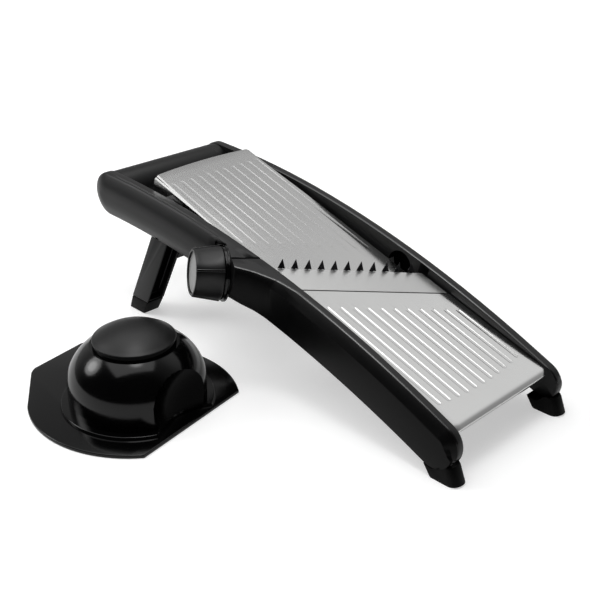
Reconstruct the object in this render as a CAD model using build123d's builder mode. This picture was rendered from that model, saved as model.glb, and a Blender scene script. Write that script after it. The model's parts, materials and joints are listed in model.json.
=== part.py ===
"""Mandoline slicer with a thickness dial, fold-away stand and a separate food holder.

X runs down the slope towards the front feet, +Y is the right-hand rail, Z is up from the table.
"""
import os
from math import asin, cos, degrees, pi, radians, sin, sqrt, tan

from build123d import *

os.makedirs("parts", exist_ok=True)

# Driving dimensions, in millimetres and degrees

# Where the slicer's middle plane and the food holder's dome stand in the part's frame
slicer_y = 75.8
holder_x = -36.8
holder_apart = 153.7
holder_turn = 10.0

# Slicing planes: the cutting edge at mid width, the slope of the plates, the skew of the blade
edge_x = 37.7
edge_z = 85.7
plate_slope = 17.9
blade_skew = 30.0

# Side rails, seen from the side: round back end, round front end, two arched edges
back_x = -185.4
back_z = 107.0
back_r = 19.5
back_tilt = 4.0
front_x = 182.7
front_z = 24.9
front_r = 17.2
front_tilt = 22.0
crest_x = 15.4
crest_z = 99.5
belly_x = -25.6
belly_z = 70.5

# Side rails, across their width
rim_width = 6.7
rail_wall = 3.3
cover_thick = 2.6
cover_inset = 0.8
cover_round = 2.0
beam_depth = 19.0
cover_split_back = 16.4
cover_seam = 0.6

# Steel plates
steel = 1.0
lower_half = 56.6
plate_gap = 0.9
upper_gap = 4.1
slice_max = 7.0
blade_width = 24.2
blade_seam = 0.3
blade_end_gap = 1.2
bevel_width = 5.0
plate_front = 159.7
fold_radius = 4.0
fold_depth = 10.0
upper_top = -178.3
upper_bow = 3.0
mouth = 7.5
flange_depth = 9.0
flange_length = 62.0
groove_count = 11
groove_pitch = 9.4
groove_width = 2.4
groove_depth = 0.5
groove_lower_start = 43.2
groove_lower_end = 139.4
groove_end_bow = 3.8
groove_upper_end = -38.6
groove_upper_start = -163.0

# Deck under the lower plate and tray under the upper plate
deck_thick = 4.0
deck_setback = 9.7
deck_nose = 2.0
ramp_end = 9.0
tray_thick = 3.6
tray_inset = 0.2
cheek_thick = 2.4
cheek_depth = 10.0
cheek_stop = -30.0

# Height adjustment: dial, shaft, spiral cams, bearings
shaft_q = -14.6
shaft_depth = 18.0
shaft_r = 3.0
shaft_spare = 4.0
boss_length = 12.4
collar_r = 22.2
collar_thick = 4.0
knob_base_r = 21.3
knob_face_r = 18.2
knob_length = 22.0
knob_gap = 0.3
knob_ridges = 4
ridge_width = 3.2
ridge_rise = 0.6
ridge_turn = 8.0
knob_web = 6.0
dial_screw_bite = 7.0
face_r = 16.2
face_thick = 1.6
face_recess = 1.5
cam_base_r = 4.4
cam_turn = 280.0
cam_thick = 6.0
cam_out = 36.0
cam_points = 14
cam_gap = 0.3
pad_reach = 7.0
pad_margin = 2.0
bearing_gap = 16.4
bearing_thick = 8.0
bearing_front = 20.0
bearing_back = 7.5
bearing_below = 7.0
bearing_above = 5.6
bearing_screw_bite = 6.0
run_clear = 0.05
shaft_hole_r = 4.5

# Boss that carries the dial on the left rail
flare_x = 44.3
flare_mid_x = 21.3
flare_mid_out = 4.5
boss_margin = 0.3
boss_spare = 6.0
boss_rise = 1.0

# Guide posts and the two braces that they slide in
post_r = 3.0
post_half = 30.0
post_reach = 13.0
rear_post = -150.0
front_post = -82.0
brace_thick = 9.0
brace_length = 14.0
brace_gap = 2.2

# Julienne comb that pulls out through the right rail
comb_start = -3.6
comb_end = 2.4
comb_thick = 4.0
comb_gap = 0.1
tine_thick = 1.0
tine_height = 7.6
tine_depth = 4.8
tine_lean = 2.2
tine_tip = 0.15
tine_count = 11
tine_edge_gap = 0.6
tine_root = 3.0
comb_slot_clear = 0.6
comb_grip_gap = 0.4
comb_grip_lip = 2.4
comb_grip_thick = 6.0

# Handle
handle_r = 18.6
rod_r = 4.0

# Front feet
sole_back = 1.1
sole_front = 20.8
heel_back = -8.6
heel_z = 11.8
heel_foot = -1.1
sole_lift = 1.3
toe_x = 22.3
toe_lean = 4.8
toe_z = 12.9
tip_x = 16.2
tip_z = 14.2
notch_x = 12.4
foot_lap = 2.0

# Fold-away stand
pivot_x = -118.0
pivot_z = 88.0
leg_lean = 26.9
leg_width = 20.4
leg_gap = 1.0
leg_thick = 18.8
tip_height = 14.0
tip_draft = 0.8
pin_r = 3.0
crossbar_drop = 30.0
crossbar_width = 13.0
crossbar_thick = 8.0
stop_gap = 0.3
stop_drop = 4.0
stop_size = 5.0

# Food holder, seen from its dome's centre
brim_thick = 3.0
brim_near = 56.0
brim_near_half = 53.8
brim_side = 78.0
brim_side_x = -9.0
brim_turn_x = -60.0
brim_turn_half = 59.0
brim_cut_x = -94.0
brim_cut_half = 25.5
brim_corner_x = -97.8
brim_corner_half = 21.0
brim_far = -100.0
brim_far_left = 16.0
brim_far_right = 34.0
brim_back_x = -91.0
brim_back_half = 50.5
ring_r = 58.5
ring_z = 5.5
dome_r = 53.0
dome_waist = 20.0
dome_rise = 41.7
dome_top = 52.0
dome_wall = 2.8
scoop_r = 49.5
scoop_out = 89.0
scoop_z = 21.0
scoop_turn = -5.0
cap_r = 31.6
cap_rim = 2.6
cap_crown = 12.0
cap_gap = 0.3
stem_r = 5.0
bush_wall = 2.5
bush_flange = 3.6
bush_length = 7.0
bush_flange_thick = 1.6
stem_screw_bite = 9.0
pusher_r = 32.0
pusher_z = 24.0
pusher_thick = 3.0
prong_count = 8
prong_ring = 22.0
prong_r = 1.2
prong_length = 12.0
spring_r = 10.0
wire_r = 0.7
spring_turns = 3
spring_gap = 0.3

# Fasteners
screw_r = 1.6
screw_head_r = 3.0
screw_head = 1.8
nut_r = 3.0
nut_thick = 2.4
blade_stud_half = 34.0

# Planes and lines worked out from the sizes

mid = Plane.XZ.offset(-slicer_y)
slope = radians(plate_slope)
skew = radians(blade_skew)
down_slope = (cos(slope), 0, -sin(slope))
plate_up = (sin(slope), 0, cos(slope))
deck_plane = Plane((edge_x, slicer_y, edge_z), x_dir=down_slope, z_dir=plate_up)
deck_side = Plane((edge_x, slicer_y, edge_z), x_dir=down_slope, z_dir=(0, -1, 0))
across_blade = deck_plane.x_dir * cos(skew) - deck_plane.y_dir * sin(skew)
cut_plane = Plane(deck_plane.origin, x_dir=across_blade, z_dir=plate_up)
cut_section = Plane(cut_plane.origin, x_dir=cut_plane.x_dir, z_dir=-cut_plane.y_dir)
shaft_plane = Plane(
    cut_plane.from_local_coords((shaft_q, 0, -shaft_depth)),
    x_dir=cut_plane.x_dir,
    z_dir=-cut_plane.y_dir,
)
holder_y = slicer_y - holder_apart
holder_plane = Plane((holder_x, holder_y, 0), x_dir=(cos(radians(holder_turn)), sin(radians(holder_turn)), 0))

rail_inner = lower_half + plate_gap
upper_half = rail_inner - upper_gap
wall_inner = rail_inner + rim_width
wall_outer = wall_inner + rail_wall
cover_outer = wall_outer + cover_thick
foot_inner = rail_inner - foot_lap
leg_outer = wall_inner - leg_gap
collar_out = cover_outer / cos(skew) + boss_length
collar_centre = shaft_plane.from_local_coords((0, 0, collar_out))
cover_split_x = collar_centre.X - cover_split_back
bearing_out = rail_inner / cos(skew) - bearing_gap
shaft_right = bearing_out + bearing_thick / 2 + shaft_spare
deck_top = -steel
deck_bottom = deck_top - deck_thick
upper_top_n = -slice_max
tray_top = upper_top_n - steel
tray_bottom = tray_top - tray_thick
cam_rate = slice_max / radians(cam_turn)
bearing_top = bearing_above - shaft_depth
comb_bottom = bearing_top + comb_gap
comb_top = comb_bottom + comb_thick
tine_half = groove_pitch / 3
brace_top = tray_bottom - brace_gap
pad_bottom = cam_base_r + cam_gap - shaft_depth
leg_tilt = radians(leg_lean)
knob_start = collar_out + collar_thick + knob_gap
knob_end = knob_start + knob_length
far_reach = 400.0


def across(distance, half):
    """Slope coordinate of the line `distance` down from the cutting edge, at width `half`."""
    return (distance + half * sin(skew)) / cos(skew)


def side_face(side, depth):
    """Vertical plane `depth` from the slicer's middle, on the left (1) or the right (-1)."""
    return mid.offset(side * depth)


def rail_face(drop=0.0, mode=Mode.ADD):
    """Face of a rail seen from the side, lowered by `drop`."""
    back, front = radians(back_tilt), radians(front_tilt)
    back_up = (back_r * sin(back), back_r * cos(back))
    front_up = (front_r * sin(front), front_r * cos(front))
    top_back = (back_x + back_up[0], back_z + back_up[1] - drop)
    low_back = (back_x - back_up[0], back_z - back_up[1] - drop)
    top_front = (front_x + front_up[0], front_z + front_up[1] - drop)
    low_front = (front_x - front_up[0], front_z - front_up[1] - drop)
    tail = (back_x - back_up[1], back_z + back_up[0] - drop)
    nose = (front_x + front_up[1], front_z - front_up[0] - drop)
    with BuildLine() as loop:
        ThreePointArc(top_back, (crest_x, crest_z - drop), top_front)
        ThreePointArc(top_front, nose, low_front)
        ThreePointArc(low_front, (belly_x, belly_z - drop), low_back)
        ThreePointArc(low_back, tail, top_back)
    make_face(loop.edges(), mode=mode)


def rail_blank(side):
    """A rail's upright wall and the rim beam along its top, with bores for the stand and the handle."""
    with BuildSketch(side_face(side, wall_inner)) as wall_side:
        rail_face()
    extrude(wall_side.sketch, amount=side * rail_wall)
    with BuildSketch(side_face(side, rail_inner)) as beam_side:
        rail_face()
        rail_face(beam_depth, Mode.SUBTRACT)
    extrude(beam_side.sketch, amount=side * rim_width)
    with BuildSketch(side_face(side, rail_inner)) as bores:
        with Locations((pivot_x, pivot_z)):
            Circle(pin_r + run_clear)
        with Locations((back_x, back_z)):
            Circle(rod_r)
    extrude(bores.sketch, amount=side * (rim_width + rail_wall), mode=Mode.SUBTRACT)


def cover_blank(side, low_x, high_x, thick):
    """Outer layer of a rail between two stations, a little inside the rail's outline."""
    with BuildSketch(side_face(side, wall_outer)) as layer:
        rail_face()
        offset(amount=-cover_inset)
        with Locations(((low_x + high_x) / 2, back_z / 2)):
            Rectangle(high_x - low_x, far_reach, mode=Mode.INTERSECT)
    extrude(layer.sketch, amount=side * thick)


def shaft_cut(radius, start, length):
    """Round hole along the dial's shaft."""
    with BuildSketch(shaft_plane.offset(start)) as hole:
        Circle(radius)
    extrude(hole.sketch, amount=length, mode=Mode.SUBTRACT)


def cut_box(low, high, mode=Mode.ADD):
    """Block between two corners given down, along and above the blade."""
    size = [b - a for a, b in zip(low, high)]
    middle = [(a + b) / 2 for a, b in zip(low, high)]
    with BuildSketch(cut_plane.offset(low[2])) as footprint:
        with Locations((middle[0], middle[1])):
            Rectangle(size[0], size[1])
    extrude(footprint.sketch, amount=size[2], mode=mode)


# Left and right rails

comb_slot_low = -tine_depth - comb_slot_clear
with BuildPart() as left_rail:
    rail_blank(1)
    shaft_cut(shaft_hole_r, collar_out - far_reach / 8, far_reach / 4)
    shaft_cut(collar_r + boss_margin, collar_out, far_reach / 8)

with BuildPart() as right_rail:
    rail_blank(-1)
    cut_box(
        (comb_slot_low, rail_inner / cos(skew) - far_reach / 8, comb_bottom - comb_slot_clear),
        (comb_end + comb_slot_clear, rail_inner / cos(skew) + far_reach / 8, tine_height + comb_slot_clear),
        Mode.SUBTRACT,
    )

# Upper covers, the soft grips on the rails' outer faces

with BuildPart() as left_upper_cover:
    cover_blank(1, back_x - back_r, cover_split_x, cover_thick)
    fillet(left_upper_cover.faces().sort_by(Axis.Y)[0].edges(), cover_round)
    shaft_cut(collar_r + boss_margin, collar_out, far_reach / 8)

with BuildPart() as right_upper_cover:
    cover_blank(-1, back_x - back_r, cover_split_x, cover_thick)
    fillet(right_upper_cover.faces().sort_by(Axis.Y)[-1].edges(), cover_round)

# Lower covers; the left one swells into the boss that carries the dial

boss_out = slicer_y - collar_centre.Y + (collar_r + boss_margin) * sin(skew) + boss_spare
boss_front_x = collar_centre.X + (collar_r + boss_margin) * cos(skew)
boss_run = (boss_out - wall_outer) / tan(skew)

with BuildPart() as boss_room:
    cover_blank(1, boss_front_x - boss_run, front_x + front_r, cover_thick)
    cover_side = boss_room.faces().sort_by(Axis.Y)[0]
    extrude(cover_side, amount=(boss_out - cover_outer) * sqrt(1 + boss_rise**2), dir=(0, -1, boss_rise))

with BuildPart() as left_lower_cover:
    cover_blank(1, boss_front_x - boss_run, front_x + front_r, boss_out - wall_outer)
    add(boss_room.part, mode=Mode.INTERSECT)
    with BuildSketch(Plane.XY):
        with BuildLine():
            Polyline(
                (flare_x, slicer_y - cover_outer),
                (front_x + front_r, slicer_y - cover_outer),
                (front_x + front_r, slicer_y - wall_outer),
                (boss_front_x - boss_run, slicer_y - wall_outer),
                (boss_front_x, slicer_y - boss_out),
            )
            ThreePointArc(
                (boss_front_x, slicer_y - boss_out),
                (flare_mid_x, slicer_y - cover_outer - flare_mid_out),
                (flare_x, slicer_y - cover_outer),
            )
        make_face()
    extrude(amount=far_reach, mode=Mode.INTERSECT)
    shaft_cut(shaft_hole_r, collar_out - far_reach / 8, far_reach / 4)
    shaft_cut(far_reach / 4, collar_out, far_reach / 4)

with BuildPart() as right_lower_cover:
    cover_blank(-1, cover_split_x + cover_seam, front_x + front_r, cover_thick)
    fillet(right_lower_cover.faces().sort_by(Axis.Y)[-1].edges(), cover_round)
    cut_box(
        (comb_slot_low, rail_inner / cos(skew) - far_reach / 8, comb_bottom - comb_slot_clear),
        (comb_end + comb_slot_clear, rail_inner / cos(skew) + far_reach / 8, tine_height + comb_slot_clear),
        Mode.SUBTRACT,
    )

# Handle and the rod that ties the rails together through it

with BuildPart() as handle_grip:
    with BuildSketch(side_face(1, rail_inner)):
        with Locations((back_x, back_z)):
            Circle(handle_r)
            Circle(rod_r, mode=Mode.SUBTRACT)
    extrude(amount=-2 * rail_inner)

with BuildPart() as handle_rod:
    with BuildSketch(side_face(1, wall_outer)):
        with Locations((back_x, back_z)):
            Circle(rod_r)
    extrude(amount=-2 * wall_outer)

# Braces between the rails, with bores for the guide posts


def brace(station):
    """Bar across the slicer with two bores square to the plates."""
    with BuildSketch(deck_plane.offset(brace_top)) as bar:
        with Locations((station, 0)):
            Rectangle(brace_length, 2 * rail_inner)
        with Locations((station, -post_half), (station, post_half)):
            Circle(post_r + run_clear, mode=Mode.SUBTRACT)
    extrude(bar.sketch, amount=-brace_thick)


with BuildPart() as rear_brace:
    brace(rear_post)

with BuildPart() as front_brace:
    brace(front_post)

# Deck and lower plate

deck_front = plate_front - deck_setback


def skew_panel(start, front, half):
    """Outline with a skewed upper edge and a square lower edge."""
    Polygon(
        (across(start, -half), -half),
        (front, -half),
        (front, half),
        (across(start, half), half),
        align=None,
    )


bearing_seats = [(side * bearing_out) for side in (-1, 1)]
bearing_screw_q = (ramp_end + bearing_front) / 2
blade_stud_spots = [((ramp_end + blade_width) / 2, w) for w in (-blade_stud_half, blade_stud_half)]

with BuildPart() as lower_deck:
    with BuildSketch(deck_plane.offset(deck_top)):
        skew_panel(deck_nose, deck_front, rail_inner)
    extrude(amount=-deck_thick)
    with BuildSketch(cut_section):
        Polygon((deck_nose, deck_top), (ramp_end, deck_bottom), (deck_nose, deck_bottom), align=None)
    extrude(amount=far_reach / 2, both=True, mode=Mode.SUBTRACT)
    with BuildSketch(cut_plane.offset(deck_bottom)):
        with Locations([(bearing_screw_q, w) for w in bearing_seats] + blade_stud_spots):
            Circle(screw_r)
    extrude(amount=deck_thick, mode=Mode.SUBTRACT)


def grooves(first, last):
    """Round-ended slots along the slope; `first` and `last` give each one's ends from its place across."""
    for i in range(groove_count):
        y = (i - (groove_count - 1) / 2) * groove_pitch
        a, b = first(y), last(y)
        with Locations(((a + b) / 2, y)):
            SlotOverall(b - a, groove_width)


groove_reach = (groove_count - 1) / 2 * groove_pitch

with BuildPart() as lower_plate:
    with BuildSketch(deck_plane):
        skew_panel(blade_width + blade_seam, plate_front - fold_radius, lower_half)
    extrude(amount=-steel)
    with BuildSketch(deck_side.offset(lower_half)):
        with BuildLine():
            flat = plate_front - fold_radius
            Line((flat, 0), (flat, -steel))
            RadiusArc((flat, -steel), (plate_front - steel, -fold_radius), fold_radius - steel)
            Polyline(
                (plate_front - steel, -fold_radius),
                (plate_front - steel, -fold_depth),
                (plate_front, -fold_depth),
                (plate_front, -fold_radius),
            )
            RadiusArc((plate_front, -fold_radius), (flat, 0), -fold_radius)
        make_face()
    extrude(amount=-2 * lower_half)
    with BuildSketch(deck_plane):
        grooves(
            lambda y: across(groove_lower_start, y),
            lambda y: groove_lower_end + groove_end_bow * (1 - (y / groove_reach) ** 2),
        )
    extrude(amount=-groove_depth, mode=Mode.SUBTRACT)

# Blade, ground to an edge along its upper skewed side, with studs welded under it

blade_half = lower_half - blade_end_gap

with BuildPart() as blade:
    with BuildSketch(deck_plane):
        Polygon(
            (across(0, -blade_half), -blade_half),
            (across(blade_width, -blade_half), -blade_half),
            (across(blade_width, blade_half), blade_half),
            (across(0, blade_half), blade_half),
            align=None,
        )
    extrude(amount=-steel)
    with BuildSketch(cut_section):
        Polygon((0, 0), (0, -steel), (bevel_width, -steel), align=None)
    extrude(amount=far_reach / 2, both=True, mode=Mode.SUBTRACT)

with BuildPart() as blade_studs:
    with BuildSketch(cut_plane.offset(-steel)):
        with Locations(blade_stud_spots):
            Circle(screw_r)
    extrude(amount=-(deck_thick + nut_thick))

with BuildPart() as blade_nuts:
    with BuildSketch(cut_plane.offset(deck_bottom)):
        with Locations(blade_stud_spots):
            RegularPolygon(nut_r, 6)
            Circle(screw_r, mode=Mode.SUBTRACT)
    extrude(amount=-nut_thick)

# Julienne comb: steel tines set in a bar that slides out through the right rail


def tine_spots():
    """Places of the tines along the blade."""
    return [(i - (tine_count - 1) / 2) * groove_pitch / cos(skew) for i in range(tine_count)]


with BuildPart() as comb_tines:
    for spot in tine_spots():
        with BuildSketch(cut_section.offset(-spot - tine_thick / 2)) as root:
            Polygon(
                (comb_start + tine_root / 2, comb_bottom),
                (comb_start + tine_root, comb_bottom),
                (-tine_edge_gap, 0),
                (-tine_depth, 0),
                align=None,
            )
        extrude(root.sketch, amount=tine_thick)
        with BuildSketch(cut_plane) as foot:
            Polygon(
                (-tine_edge_gap, spot - tine_half),
                (-tine_edge_gap, spot + tine_half),
                (-tine_depth, spot),
                align=None,
            )
        with BuildSketch(cut_plane.offset(tine_height)) as tip:
            Polygon(
                (-tine_edge_gap - tine_lean, spot - tine_tip),
                (-tine_edge_gap - tine_lean, spot + tine_tip),
                (-tine_edge_gap - tine_lean - tine_tip, spot),
                align=None,
            )
        loft([foot.sketch, tip.sketch])

comb_right = (cover_outer + (comb_end + comb_grip_lip) * sin(skew) + comb_grip_gap) / cos(skew)
comb_left = -(rail_inner - comb_end * sin(skew) - comb_grip_gap) / cos(skew)

with BuildPart() as comb_bar:
    cut_box((comb_start, comb_left, comb_bottom), (comb_end, comb_right, comb_top))
    add(comb_tines.part, mode=Mode.SUBTRACT)

with BuildPart() as comb_grip:
    cut_box(
        (comb_start - comb_grip_lip, comb_right, comb_bottom - comb_grip_lip),
        (comb_end + comb_grip_lip, comb_right + comb_grip_thick, comb_top + comb_grip_lip),
    )

# Bearings for the dial's shaft, stepped down under the comb and the tray


def bearing(w):
    """Block under the deck's skewed edge with a running bore for the shaft."""
    low_w, high_w = w - bearing_thick / 2, w + bearing_thick / 2
    floor = -shaft_depth - bearing_below
    cut_box((shaft_q - bearing_back, low_w, floor), (bearing_front, high_w, bearing_top))
    cut_box((ramp_end, low_w, bearing_top), (bearing_front, high_w, deck_bottom))
    shaft_cut(shaft_r + run_clear, -far_reach / 4, far_reach / 2)
    with BuildSketch(cut_plane.offset(deck_bottom)) as screw_hole:
        with Locations((bearing_screw_q, w)):
            Circle(screw_r)
    extrude(screw_hole.sketch, amount=-bearing_screw_bite, mode=Mode.SUBTRACT)


with BuildPart() as left_bearing:
    bearing(-bearing_out)

with BuildPart() as right_bearing:
    bearing(bearing_out)

with BuildPart() as bearing_screws:
    with BuildSketch(cut_plane.offset(deck_top)):
        with Locations([(bearing_screw_q, w) for w in bearing_seats]):
            Circle(screw_r)
    extrude(amount=-(deck_thick + bearing_screw_bite))

# Tray and upper plate, which rise together to set the slice


def upper_panel(half, top):
    """Face of the upper plate or its tray."""
    with BuildLine() as loop:
        Polyline(
            (top, -half),
            (across(-mouth, -half), -half),
            (across(-mouth, half), half),
            (top, half),
        )
        ThreePointArc((top, half), (top - upper_bow, 0), (top, -half))
    make_face(loop.edges())


tray_half = upper_half - steel - tray_inset
post_spots = [(s, y) for s in (rear_post, front_post) for y in (-post_half, post_half)]

with BuildPart() as plate_tray:
    with BuildSketch(deck_plane.offset(tray_top)):
        upper_panel(tray_half, upper_top)
        with Locations(post_spots):
            Circle(post_r, mode=Mode.SUBTRACT)
    extrude(amount=-tray_thick)
    for side in (-1, 1):
        with BuildSketch(deck_plane.offset(tray_bottom)):
            Polygon(
                (upper_top, side * tray_half),
                (across(cheek_stop, side * tray_half), side * tray_half),
                (across(cheek_stop, side * tray_half), side * (tray_half - cheek_thick)),
                (upper_top, side * (tray_half - cheek_thick)),
                align=None,
            )
            with Locations((rear_post, 0), (front_post, 0)):
                Rectangle(brace_length + 2 * brace_gap, 2 * rail_inner, mode=Mode.SUBTRACT)
        extrude(amount=-cheek_depth)

    for out in (-cam_out, cam_out):
        cut_box(
            (shaft_q - pad_reach, out - cam_thick / 2 - pad_margin, pad_bottom),
            (-mouth, out + cam_thick / 2 + pad_margin, tray_bottom),
        )

with BuildPart() as upper_plate:
    with BuildSketch(deck_plane.offset(upper_top_n)):
        upper_panel(upper_half, upper_top)
    extrude(amount=-steel)
    for side in (-1, 1):
        with BuildSketch(deck_side.offset(side * upper_half)):
            Polygon(
                (upper_top, upper_top_n),
                (upper_top + flange_length, upper_top_n),
                (upper_top + flange_length, tray_top),
                (upper_top, upper_top_n - flange_depth),
                align=None,
            )
        extrude(amount=-side * steel)
    with BuildSketch(deck_plane.offset(upper_top_n)):
        grooves(lambda y: groove_upper_start, lambda y: across(groove_upper_end, y))
    extrude(amount=-groove_depth, mode=Mode.SUBTRACT)

with BuildPart() as guide_posts:
    with BuildSketch(deck_plane.offset(tray_top)):
        with Locations(post_spots):
            Circle(post_r)
    extrude(amount=-(tray_thick + brace_gap + brace_thick + post_reach))

# Dial: collar on the boss, ridged knob, grey face, shaft and its two spiral cams

with BuildPart() as dial_collar:
    with BuildSketch(shaft_plane.offset(collar_out)):
        Circle(collar_r)
        Circle(shaft_hole_r, mode=Mode.SUBTRACT)
    extrude(amount=collar_thick)

face_seat = knob_end - face_recess - face_thick
shaft_end = face_seat - knob_web

with BuildPart() as dial_knob:
    with BuildSketch(shaft_plane.offset(knob_start)):
        Circle(knob_base_r)
    with BuildSketch(shaft_plane.offset(knob_end)):
        Circle(knob_face_r)
    loft()
    for i in range(knob_ridges):
        turn = ridge_turn + 360 * i / knob_ridges
        with BuildSketch(shaft_plane.offset(knob_start)):
            with Locations(Rotation(0, 0, turn) * Pos(knob_base_r, 0)):
                Rectangle(2 * ridge_rise, ridge_width)
        with BuildSketch(shaft_plane.offset(knob_end)):
            with Locations(Rotation(0, 0, turn) * Pos(knob_face_r, 0)):
                Rectangle(2 * ridge_rise, ridge_width)
        loft()
    shaft_cut(shaft_r, knob_start, shaft_end - knob_start)
    shaft_cut(screw_r, shaft_end, knob_web)
    shaft_cut(face_r, face_seat, face_thick + face_recess)
    shaft_cut(screw_head_r, face_seat - screw_head, screw_head)

with BuildPart() as dial_face:
    with BuildSketch(shaft_plane.offset(face_seat)):
        Circle(face_r)
    extrude(amount=face_thick)

with BuildPart() as dial_shaft:
    with BuildSketch(shaft_plane.offset(-shaft_right)):
        Circle(shaft_r)
    extrude(amount=shaft_end + shaft_right)
    shaft_cut(screw_r, shaft_end - dial_screw_bite, dial_screw_bite)

with BuildPart() as dial_screw:
    with BuildSketch(shaft_plane.offset(face_seat - screw_head)):
        Circle(screw_head_r)
    extrude(amount=screw_head)
    with BuildSketch(shaft_plane.offset(shaft_end - dial_screw_bite)):
        Circle(screw_r)
    extrude(amount=dial_screw_bite + knob_web - screw_head)


def cam(out):
    """Disc whose radius grows steadily with the turn, so the tray rises evenly with the dial."""
    with BuildSketch(shaft_plane.offset(out - cam_thick / 2)) as disc:
        with BuildLine():
            turn = radians(cam_turn)
            steps = [turn * i / cam_points for i in range(cam_points + 1)]
            rise = [
                ((cam_base_r + cam_rate * a) * -sin(a), (cam_base_r + cam_rate * a) * cos(a)) for a in steps
            ]
            Spline(*rise)
            Line(rise[-1], (cam_base_r * -sin(turn), cam_base_r * cos(turn)))
            middle = (turn + 2 * pi) / 2
            ThreePointArc(
                (cam_base_r * -sin(turn), cam_base_r * cos(turn)),
                (cam_base_r * -sin(middle), cam_base_r * cos(middle)),
                (0, cam_base_r),
            )
        make_face()
        Circle(shaft_r, mode=Mode.SUBTRACT)
    extrude(disc.sketch, amount=cam_thick)


with BuildPart() as left_cam:
    cam(cam_out)

with BuildPart() as right_cam:
    cam(-cam_out)

# Front feet, rubber boots that cup the rails' round ends


def foot(side):
    """Boot with a flat sole, hollowed on top for the rail's round end."""
    with BuildSketch(side_face(side, foot_inner)) as boot:
        Polygon(
            (front_x, front_z),
            (front_x + heel_back, heel_z),
            (front_x + heel_foot, sole_lift),
            (front_x + sole_back, 0),
            (front_x + sole_front, 0),
            (front_x + toe_x, sole_lift),
            (front_x + toe_x - toe_lean, toe_z),
            (front_x + tip_x, tip_z),
            (front_x + notch_x, toe_z),
            align=None,
        )
        rail_face(mode=Mode.SUBTRACT)
    extrude(boot.sketch, amount=side * (cover_outer - foot_inner))


with BuildPart() as left_foot:
    foot(1)

with BuildPart() as right_foot:
    foot(-1)

# Fold-away stand: two leaning legs, rubber tips, crossbar and pivot pins


def leg_edge(sign, z):
    """Place along X of a leg's back (-1) or front (1) edge at height `z`."""
    return pivot_x + sign * leg_width / 2 / cos(leg_tilt) - (pivot_z - z) * tan(leg_tilt)


leg_inner = leg_outer - leg_thick
bar_x = pivot_x - crossbar_drop * sin(leg_tilt)
bar_z = pivot_z - crossbar_drop * cos(leg_tilt)


def leg(side):
    """Leaning leg, round at its pivot, cut level where the tip takes over."""
    shift_x = leg_width / 2 * cos(leg_tilt)
    shift_z = leg_width / 2 * sin(leg_tilt)
    with BuildSketch(side_face(side, leg_inner)) as shank:
        Polygon(
            (pivot_x - shift_x, pivot_z + shift_z),
            (leg_edge(-1, tip_height), tip_height),
            (leg_edge(1, tip_height), tip_height),
            (pivot_x + shift_x, pivot_z - shift_z),
            align=None,
        )
        with Locations((pivot_x, pivot_z)):
            Circle(leg_width / 2)
            Circle(pin_r, mode=Mode.SUBTRACT)
    extrude(shank.sketch, amount=side * leg_thick)


def leg_tip(side):
    """Rubber tip that narrows a little to its sole."""
    middle_y = slicer_y - side * (leg_inner + leg_thick / 2)
    levels = []
    for z, inset in ((0, tip_draft), (tip_height, 0)):
        low, high = leg_edge(-1, z) + inset, leg_edge(1, z) - inset
        with BuildSketch(Plane.XY.offset(z)) as level:
            with Locations(((low + high) / 2, middle_y)):
                Rectangle(high - low, leg_thick - 2 * inset)
        levels.append(level.sketch)
    loft(levels)


with BuildPart() as left_leg:
    leg(1)

with BuildPart() as right_leg:
    leg(-1)

with BuildPart() as left_leg_tip:
    leg_tip(1)

with BuildPart() as right_leg_tip:
    leg_tip(-1)

with BuildPart() as leg_crossbar:
    with BuildSketch(side_face(1, leg_inner)):
        with Locations(Pos(bar_x, bar_z) * Rotation(0, 0, -leg_lean)):
            Rectangle(crossbar_thick, crossbar_width)
    extrude(amount=-2 * leg_inner)

with BuildPart() as leg_pins:
    for side in (1, -1):
        with BuildSketch(side_face(side, leg_inner)):
            with Locations((pivot_x, pivot_z)):
                Circle(pin_r)
        extrude(amount=side * (wall_outer - stop_gap - leg_inner))

with BuildPart() as leg_stops:
    back_off = leg_width / 2 + stop_gap + stop_size / 2
    stop_x = pivot_x - stop_drop * sin(leg_tilt) - back_off * cos(leg_tilt)
    stop_z = pivot_z - stop_drop * cos(leg_tilt) + back_off * sin(leg_tilt)
    for side in (1, -1):
        with BuildSketch(side_face(side, rail_inner)):
            with Locations(Pos(stop_x, stop_z) * Rotation(0, 0, -leg_lean)):
                Rectangle(stop_size, stop_size)
        extrude(amount=side * rim_width)

# Food holder: domed body with a brim, spring pusher with a palm cap


def dome_radius(z):
    """Outer radius of the dome at a height above its waist."""
    return dome_r * (1 - ((z - dome_waist) / dome_rise) ** 2) ** 0.5


holder_side = Plane(holder_plane.origin, x_dir=holder_plane.x_dir, z_dir=-holder_plane.y_dir)
holder_axis = Axis(holder_plane.origin, (0, 0, 1))


def scoops(radius, mode):
    """Two finger hollows, one on each side of the dome."""
    for side in (-1, 1):
        spot = Rotation(0, 0, scoop_turn) * Pos(side * scoop_out, 0, scoop_z)
        with Locations(holder_plane.location * spot):
            Sphere(radius, mode=mode)


def dome_profile(shrink):
    """Half section of the dome, made thinner by `shrink`."""
    top = dome_top - shrink
    top_r = dome_radius(dome_top) - shrink
    middle = (dome_waist + dome_top) / 2
    with BuildSketch(holder_side) as section:
        with BuildLine():
            Polyline((0, top), (0, 0), (dome_r - shrink, 0), (dome_r - shrink, dome_waist))
            ThreePointArc(
                (dome_r - shrink, dome_waist),
                (dome_radius(middle) - shrink, middle - shrink / 3),
                (top_r, top),
            )
            Line((top_r, top), (0, top))
        make_face()
    revolve(section.sketch, axis=holder_axis)


with BuildPart() as dome_cavity:
    dome_profile(dome_wall)
    scoops(scoop_r + dome_wall, Mode.SUBTRACT)

bush_r = stem_r + run_clear + bush_wall

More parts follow.
